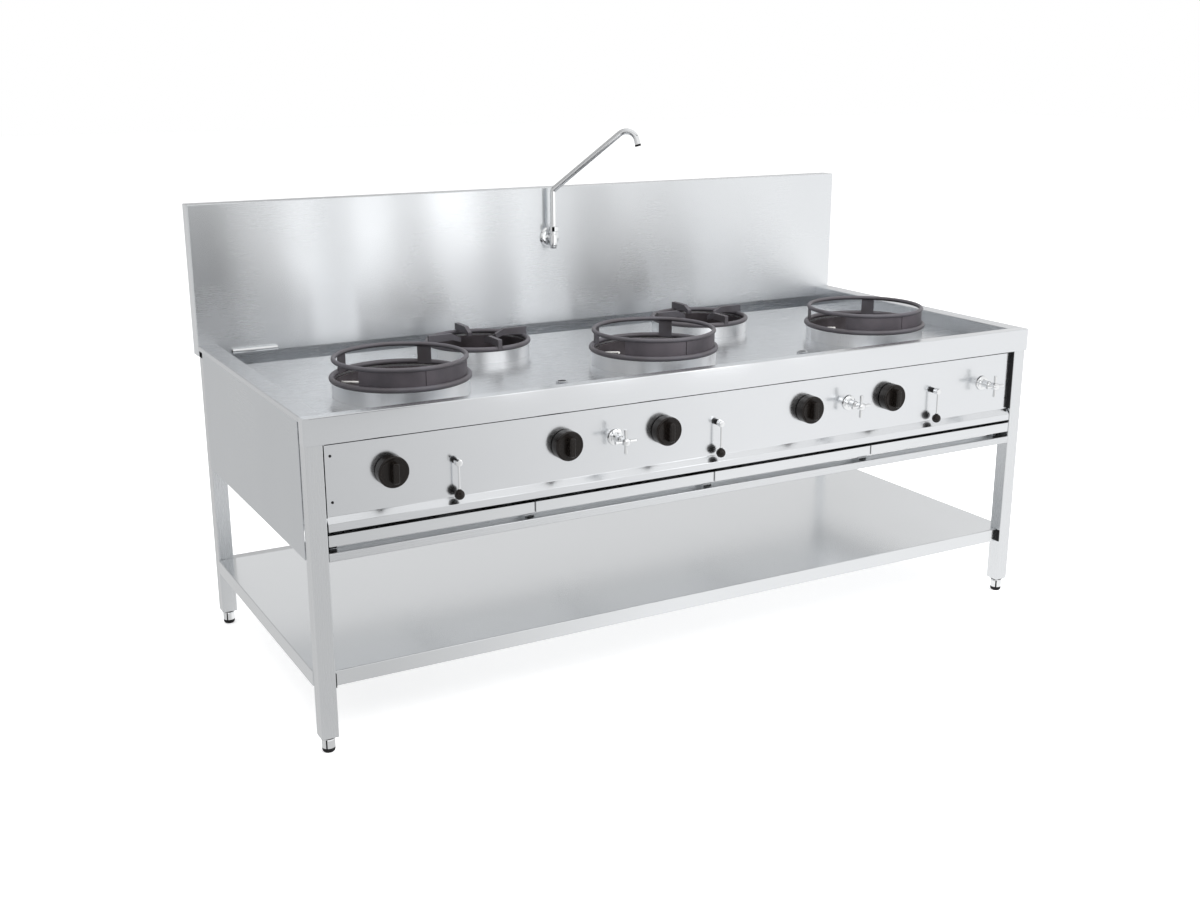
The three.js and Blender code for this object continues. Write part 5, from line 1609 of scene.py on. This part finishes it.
@dataclass
class TapHandle:
    """A cross handle on a tap."""

    name: str
    x: float
    back: float

    def build(self) -> None:
        """Makes the handle on its own body."""
        hub = [(0, 10), (4.4, 10), (4.4, 0), (8.4, 0), (9.6, 0.8), (11, 4), (11, 15), (10.2, 18.4),
               (8, 20.8), (5, 21.8), (0, 22)]
        shape = Shape(f"{self.name}_cross")
        shape.lathe(hub, (self.x, self.back, TAP_Z), Axis.Y, -1, 48)
        tip = [(0, 6), (3.4, 6), (3.6, 10), (4.7, 28), (4.5, 30), (3.6, 31), (0, 31.2)]
        middle = Matrix.Translation((self.x, self.back - 11, TAP_Z))
        for quarter in range(4):
            arm = Shape("arm").lathe(tip, axis=Axis.X, segments=28)
            shape.take(arm.moved(middle @ Matrix.Rotation(quarter * math.pi / 2, 4, "Y")).bm)
        shape.dress(CHROME, self.name, body=self.name)


@dataclass
class Pipework:
    """Gas pipe, valves, feeds, water pipe and tap bodies."""

    panel: ControlPanel
    reach: float = 1000.0
    gas_y: float = 95.0
    valve_y: float = 43.0
    valve_half: float = 15.0
    feed_y: float = 57.0
    wok_feed_z: float = 636.3
    pan_feed_z: float = 652.3
    water_y: float = 48.0
    water_z: float = 716.0
    riser_y: float = 973.0
    outlet_z: float = 1060.0
    tap_face: float = PANEL_FACE - 5.3
    bonnet: float = 34.0

    @property
    def handle_back(self) -> float:
        """Back of a tap's handle."""
        return self.tap_face - self.bonnet - 4

    def build(self) -> None:
        """Makes the gas and the water side."""
        self.gas_pipe()
        self.valves()
        self.feeds()
        self.water_pipe()
        self.bonnets()

    def gas_pipe(self) -> None:
        """The gas pipe behind the panel and along the left side."""
        far, y = self.reach, self.gas_y
        corners = [(far, y, GAS_Z), (-far, y, GAS_Z), (-far, 985, GAS_Z)]
        pipe = Shape("gas_pipe").tube(route(corners, 34.0), 17.0, segments=40)
        pipe.dress(PIPE_STEEL, "gas_manifold")

    def valves(self) -> None:
        """A valve behind each knob and lever, and a dark sleeve behind each lever."""
        valves, half = Shape("gas_valves"), self.valve_half
        spots = [(x, GAS_Z, -6.7) for x in self.panel.knobs]
        spots += [(x, LEVER_Z, -4.7) for x in self.panel.levers]
        for x, z, tip in spots:
            face, stem = (x, self.valve_y, z), self.valve_y - tip
            low, high = (x - half, self.valve_y - 1, z - half), (x + half, self.gas_y, z + half)
            valves.block(low, high, 2.0)
            valves.lathe([(0, 0), (12, 0), (12, 6), (7, 8), (0, 8)], face, Axis.Y, -1, 32)
            end = [(4, stem), (3.4, stem + 0.6), (0, stem + 0.6)]
            valves.lathe([(0, 0), (4, 0), *end], face, Axis.Y, -1, 24)
        valves.dress(BRASS)
        sleeves = Shape("lever_sleeves")
        wall = [(4.1, 0.2), (7.4, 0.2), (7.4, 10.8), (6.8, 11.6), (4.1, 11.6)]
        for x in self.panel.levers:
            sleeves.lathe(wall, (x, PANEL_FACE, LEVER_Z), Axis.Y, -1, 32)
        sleeves.dress(BLACK_RUBBER_AND_SHADE)

    def feeds(self) -> None:
        """A pipe from a knob's valve to each burner."""
        knobs, y = self.panel.knobs, self.feed_y
        pairs = [(knobs[k], x, self.wok_feed_z) for k, x in zip((0, 2, 4), WOK_X)]
        pairs += [(knobs[k], x, self.pan_feed_z) for k, x in zip((1, 3), PAN_X)]
        feeds = Shape("gas_feeds")
        for start, end, z in pairs:
            corners = [(start, y, GAS_Z), (start, y, z), (end, y, z), (end, 150, z)]
            feeds.tube(route(corners, 12.0), 6.0)
        feeds.dress(PIPE_STEEL)

    def water_pipe(self) -> None:
        """The water pipe along the panel and up inside the splashback, with the tap bodies."""
        back, y, z, far, up = self.riser_y, self.water_y, self.water_z, self.reach, self.outlet_z
        corners = [(self.panel.taps[0] - 13, y, z), (far, y, z), (far, back, z), (far, back, up),
                   (0, back, up)]
        shape = Shape("water_pipe").tube(route(corners, 24.0), 10.0, segments=32)
        shape.tube([(0, back + 8, up), (0, 960.3, up)], 10.0, segments=32)
        shape.lathe([(9, 0), (12, 0), (12, 74), (9, 74)], (far, back, 666), segments=32)
        tap = [(0, 0), (12, 0), (13, 1), (13, 43.3), (0, 43.3)]
        for x in self.panel.taps:
            shape.tube([(x, y, TAP_Z), (x, y, z)], 7.0)
            shape.lathe(tap, (x, y + 13, TAP_Z), Axis.Y, -1, 32)
        shape.dress(PIPE_STEEL, "water_manifold")

    def bonnets(self) -> None:
        """A chrome flange, neck and stem in front of the panel for each tap."""
        neck = [(0, 0), (22, 0), (22, 1), (20.5, 3.6), (17, 5), (12, 5.4), (10.5, 7), (10.5, 30),
                (9.6, 33), (7, 36), (5.4, 39), (0, 39)]
        stem = [(0, 0), (4, 0), (4, 13.2), (3.6, 13.7), (0, 13.7)]
        taps = Shape("tap_bonnets")
        for x in self.panel.taps:
            taps.lathe(neck, (x, PANEL_FACE - SEAM, TAP_Z), Axis.Y, -1, 48)
            taps.lathe(stem, (x, self.tap_face - self.bonnet + 0.5, TAP_Z), Axis.Y, -1, 24)
        taps.dress(CHROME)


@dataclass
class Faucet:
    """Swivelling wall faucet and the rinse pipe below it."""

    z: float = 1060.0
    axis_y: float = 918.0
    nut_low: float = 20.3
    riser: float = 126.0
    arm: float = 39.5
    arm_length: float = 265.0
    tip: float = 76.0
    bends: Pair = (14.0, 32.0)
    swing: float = -35.0
    rinse_z: float = 801.0
    rinse_x: Triple = (-1007.0, -893.0, -879.0)

    def build(self) -> None:
        """Makes the pieces."""
        self.body()
        self.nut()
        self.spout()
        self.rinse_pipe()

    def body(self) -> None:
        """Rosette, wall body, cap and stub."""
        wall = SPLASH_FACE - SEAM
        at_wall = (0, wall, self.z)
        rosette = [(0, 0), (32.6, 0), (33, 0.6), (32.6, 2.4), (30, 5), (26.5, 7), (22, 8),
                   (14, 8.4), (0, 8.4)]
        cap = [(0, -33), (6, -33), (9.4, -31.4), (10.4, -28), (10.4, -25), (11.6, -24),
               (12.5, -20), (12.5, 9), (11.6, 12.5), (10, 13), (10, 20), (0, 20)]
        shape = Shape("faucet_wall_body").lathe(rosette, at_wall, Axis.Y, -1, 64)
        arm = [(0, 0), (12.5, 0), (12.5, 20), (11, 27.7), (0, 27.7)]
        shape.lathe(arm, at_wall, Axis.Y, -1, 40)
        shape.lathe(cap, (0, self.axis_y, self.z), segments=48)
        shape.lathe(rod(8, 0, 14), (0, wall - 1, self.z), Axis.Y, 1, 24)
        shape.dress(CHROME, "faucet_body")

    def nut(self) -> None:
        """The hexagonal nut under the spout."""
        low, high, bore = self.nut_low, self.nut_low + 16, 9.4
        outside = ((low, 13.2), (low + 1.1, 14.5), (high - 1.1, 14.5), (high, 13.2))
        rows = [self.nut_row(height, radius, 0.9) for height, radius in outside]
        rows += [self.nut_row(height, bore, 1.0) for height in (high, low)]
        Shape("faucet_union_nut").skin(rows, wrap=True).dress(CHROME, "faucet_nut")

    def nut_row(self, height: float, radius: float, blunt: float) -> list[Triple]:
        """Points round the nut at a height.

        Args:
            height: Height above the faucet's axis.
            radius: Distance to the flats.
            blunt: Cosine at which the corners are cut off; 1 makes a circle.

        Returns:
            The points.
        """
        points = []
        for angle in range(0, 360, 10):
            off = math.radians((angle + 30) % 60 - 30)
            reach = 0.985 * radius / max(math.cos(off), blunt)
            a = math.radians(angle)
            points.append((reach * math.cos(a), self.axis_y + reach * math.sin(a), self.z + height))
        return points

    def spout(self) -> None:
        """The riser, the sloping arm and the turned-down tip."""
        arm, tip = math.radians(self.arm), math.radians(self.tip)
        reach = self.bends[1] * math.tan((arm + tip) / 2)
        along = self.arm_length + reach
        crest = Vector((along * math.cos(arm), 0, self.riser + along * math.sin(arm)))
        down = Vector((math.cos(tip), 0, -math.sin(tip)))
        end = crest + down * (reach + 20)
        turn = Matrix.Rotation(math.radians(self.swing), 4, "Z")
        turn = Matrix.Translation((0, self.axis_y, self.z + self.nut_low)) @ turn
        path = route([(0, 0, 0), (0, 0, self.riser), crest, end - down * 7], self.bends, 12)
        tube = Shape("faucet_spout_tube").tube(path, 9.0, 7.6, 32).moved(turn)
        tube.dress(CHROME, "faucet_spout", body="faucet_spout")
        lip = [end - down * 6, end - down * 5, end]
        outlet = Shape("faucet_spout_outlet").tube(lip, 9.2, 7.0, 32).moved(turn)
        outlet.dress(BLACK_RUBBER_AND_SHADE, body="faucet_spout")

    def rinse_pipe(self) -> None:
        """The short pipe low on the splashback, open at its left end."""
        y, z = SPLASH_FACE - 7.3, self.rinse_z
        left, inlet, right = self.rinse_x
        shape = Shape("rinse_pipe_tube").tube([(left, y, z), (right, y, z)], 7.0, 5.2, 32)
        cap = [(0, 0), (6.6, 0), (7, 0.5), (6.6, 2.4), (0, 3)]
        shape.lathe(cap, (right - 2, y, z), Axis.X, 1, 32)
        shape.tube([(inlet, y, z), (inlet, 950, z)], 4.5)
        shape.dress(CHROME, "rinse_pipe")


# ---------------------------------------------------------------- studio


@dataclass(frozen=True)
class Card:
    """A card in front of the splashback that it shows at a chosen spot of its face.

    The card stands on the line from the eye's mirror image through the spot. Half
    its width and height are given as they show on the face, and beyond says how
    far along the line it stands, with the face at 1.
    """

    x: float
    z: float
    wide: float
    high: float
    strength: float
    beyond: float = 1.35


@dataclass
class Studio:
    """Camera, backdrop and lights."""

    eye: Triple = (-1967.1, -2904.7, 1585.1)
    turn: Triple = (90 - 15.673, 0.06, -29.155)
    lens: float = 41.555
    surround: float = 0.72
    side_way: Triple = (0.75, -0.65, 0.1)
    side_fall: tuple[float, ...] = (0.55, 0.97, -0.45, 0.3)
    band: Triple = (0.52, 0.03, 0.03)
    floor_reach: float = 30.0
    floor_color: float = 0.93
    floor_glow: float = 0.5
    floor_fall: tuple[float, ...] = (0.68, 1.06, 0.22, 0.9)
    columns: tuple[Card, ...] = (
        Card(-1110.0, 1115.0, 120.0, 140.0, 0.0), Card(-790.0, 1120.0, 45.0, 160.0, 1.8),
        Card(-575.0, 1120.0, 60.0, 160.0, 1.8), Card(-315.0, 1120.0, 80.0, 160.0, 2.4),
        Card(-90.0, 1120.0, 30.0, 160.0, 1.7), Card(150.0, 1110.0, 60.0, 130.0, 0.65))
    behind: Card = Card(-260.0, 1120.0, 660.0, 150.0, 1.2, 1.6)

    def build(self) -> None:
        """Sets up the picture."""
        self.camera()
        self.world()
        self.floor()
        self.lights()
        self.cards()
        bpy.context.scene.view_settings.view_transform = "Standard"

    def camera(self) -> None:
        """The viewpoint of the picture."""
        data = bpy.data.cameras.new("camera")
        data.lens, data.sensor_width, data.clip_end = self.lens, 36.0, 100.0
        camera = linked("camera", data)
        camera.location = Layout.at(self.eye)
        camera.rotation_euler = [math.radians(a) for a in self.turn]
        bpy.context.scene.camera = camera
        camera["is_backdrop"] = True

    def world(self) -> None:
        """A white surround that falls off to the left and the rear in reflections."""
        world = bpy.data.worlds.new("studio")
        bpy.context.scene.world = world
        world.use_nodes = True
        graph = Graph(world.node_tree)
        background = world.node_tree.nodes["Background"].inputs
        way = graph.add("ShaderNodeTexCoord").outputs["Generated"]
        ways = {0: way, 1: self.side_way}
        side = graph.add("ShaderNodeVectorMath", ways, operation="DOT_PRODUCT").outputs["Value"]
        height = graph.add("ShaderNodeSeparateXYZ", {0: way}).outputs["Z"]
        band_height, band_half, band_strength = self.band
        band = graph.math("COMPARE", height, band_height, band_half)
        fall = graph.blend(band, graph.ramp(side, *self.side_fall), band_strength)
        path = graph.add("ShaderNodeLightPath").outputs
        seen = graph.math("MAXIMUM", path["Is Camera Ray"], path["Is Transmission Ray"])
        glossy = graph.blend(path["Is Glossy Ray"], self.surround, fall)
        graph.link(graph.blend(seen, glossy, 1.0), background["Strength"])
        background["Color"].default_value = (1, 1, 1, 1)

    def floor(self) -> None:
        """A white floor that is darker in reflections towards the left and the rear."""
        material, graph = Graph.material("floor")
        graph.tree.nodes.clear()
        coords = graph.add("ShaderNodeTexCoord").outputs["Object"]
        spot = graph.add("ShaderNodeSeparateXYZ", {0: coords}).outputs
        across = graph.math("ADD", spot["X"], 1.1)
        ahead = graph.math("MAXIMUM", graph.math("SUBTRACT", 0.5, spot["Y"]), 0.05)
        fall = graph.ramp(graph.math("DIVIDE", across, ahead), *self.floor_fall)
        path = graph.add("ShaderNodeLightPath").outputs
        glow = graph.math("MULTIPLY", path["Is Camera Ray"], self.floor_glow)
        plain = graph.first("ShaderNodeBsdfDiffuse", {"Color": (*[self.floor_color] * 3, 1)})
        lifted = graph.first("ShaderNodeEmission", {"Strength": glow})
        seen = graph.first("ShaderNodeAddShader", {0: plain, 1: lifted})
        shown = graph.first("ShaderNodeEmission", {"Strength": fall})
        ends = {0: path["Is Glossy Ray"], 1: seen, 2: shown}
        graph.add("ShaderNodeOutputMaterial", {0: graph.first("ShaderNodeMixShader", ends)})
        far = self.floor_reach
        corners = [(-far, -far, 0), (far, -far, 0), (far, far, 0), (-far, far, 0)]
        self.quad("floor", corners, material)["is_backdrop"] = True

    def lights(self) -> None:
        """A broad soft light from the front right, and one above."""
        self.area("key", (2200, -2600, 4200), (0, 300, 700), 3.0, 150.0)
        self.area("top", (-600, -300, 4600), (0, 500, 700), 4.0, 130.0)

    def cards(self) -> None:
        """The cards that the splashback, the shelf and the feet reflect."""
        image = (self.eye[0], 2 * SPLASH_FACE - self.eye[1], self.eye[2])
        names = [f"strip_{k + 1}" for k in range(len(self.columns))] + ["strip_behind"]
        for name, card in zip(names, (*self.columns, self.behind)):
            spot = (card.x, SPLASH_FACE, card.z)
            centre = [a + card.beyond * (b - a) for a, b in zip(image, spot)]
            wide, high = card.beyond * card.wide, card.beyond * card.high
            self.strip(name, centre, wide, high, card.strength)
        self.strip("strip_over_shelf", (0, 904, 359), 1050, 156, 0.8)
        for x in (-1076, 1076):
            for y in (25, 930):
                self.strip(f"foot_shade_{x}_{y}", (x - 21, y - 22, 20), 8, 19, 0.0)

    @staticmethod
    def quad(name: str, corners: Sequence[Point],
             material: bpy.types.Material) -> bpy.types.Object:
        """A flat four-cornered object.

        Args:
            name: Its name.
            corners: Its corners, in metres.
            material: Its material.

        Returns:
            The object.
        """
        mesh = bpy.data.meshes.new(name)
        mesh.from_pydata(corners, [], [(0, 1, 2, 3)])
        mesh.materials.append(material)
        return linked(name, mesh)

    @staticmethod
    def area(name: str, spot: Point, target: Point, size: float, power: float) -> None:
        """A square soft light aimed at a point.

        Args:
            name: Its name.
            spot: Where it is.
            target: What it is aimed at.
            size: Its side, in metres.
            power: Its power, in watts.
        """
        data = bpy.data.lights.new(name, "AREA")
        data.size, data.energy = size, power
        obj = linked(name, data)
        obj.location = Layout.at(spot)
        way = Layout.at(target) - obj.location
        obj.rotation_euler = way.to_track_quat("-Z", "Y").to_euler()
        obj.visible_camera = obj.visible_glossy = False
        obj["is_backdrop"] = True

    @classmethod
    def strip(cls, name: str, centre: Point, wide: float, high: float, strength: float) -> None:
        """A card facing the front that only reflections see.

        Args:
            name: Its name.
            centre: Its middle.
            wide: Half its width.
            high: Half its height.
            strength: Its brightness.
        """
        material, graph = Graph.material(name)
        graph.tree.nodes.clear()
        light = graph.first("ShaderNodeEmission", {"Strength": strength})
        graph.add("ShaderNodeOutputMaterial", {0: light})
        x, y, z = centre
        ends = ((-wide, -high), (wide, -high), (wide, high), (-wide, high))
        corners = [Layout.at((x + dx, y, z + dz)) for dx, dz in ends]
        obj = cls.quad(name, corners, material)
        obj.visible_camera = obj.visible_diffuse = obj.visible_shadow = False
        obj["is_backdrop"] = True


@dataclass
class Range:
    """The whole range."""

    panel: ControlPanel = field(default_factory=ControlPanel)
    knob_names: tuple[str, ...] = ("wok_knob_left", "pan_knob_left", "wok_knob_middle",
                                   "pan_knob_right", "wok_knob_right")

    def build(self) -> None:
        """Makes every piece."""
        for part in (Worktop(), Splashback(), Stand(), self.panel, DripTrays()):
            part.build()
        for station, x in zip(STATIONS, WOK_X):
            WokStation(station, x).build()
        for (_, side), x in zip(SIDES, PAN_X):
            PanStation(side, x).build()
        pipes = Pipework(self.panel)
        pipes.build()
        for name, x in zip(self.knob_names, self.panel.knobs):
            Knob(name, x).build()
        for station, lever, tap in zip(STATIONS, self.panel.levers, self.panel.taps):
            Lever(f"gas_lever_{station}", lever).build()
            TapHandle(f"tap_handle_{station}", tap, pipes.handle_back).build()
        Faucet().build()


def main() -> None:
    """Builds the range in the frame."""
    logging.basicConfig(level=logging.INFO, format="%(name)s: %(message)s")
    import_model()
    Layout.measure()
    Range().build()
    Studio().build()


if __name__ == "__main__":
    main()
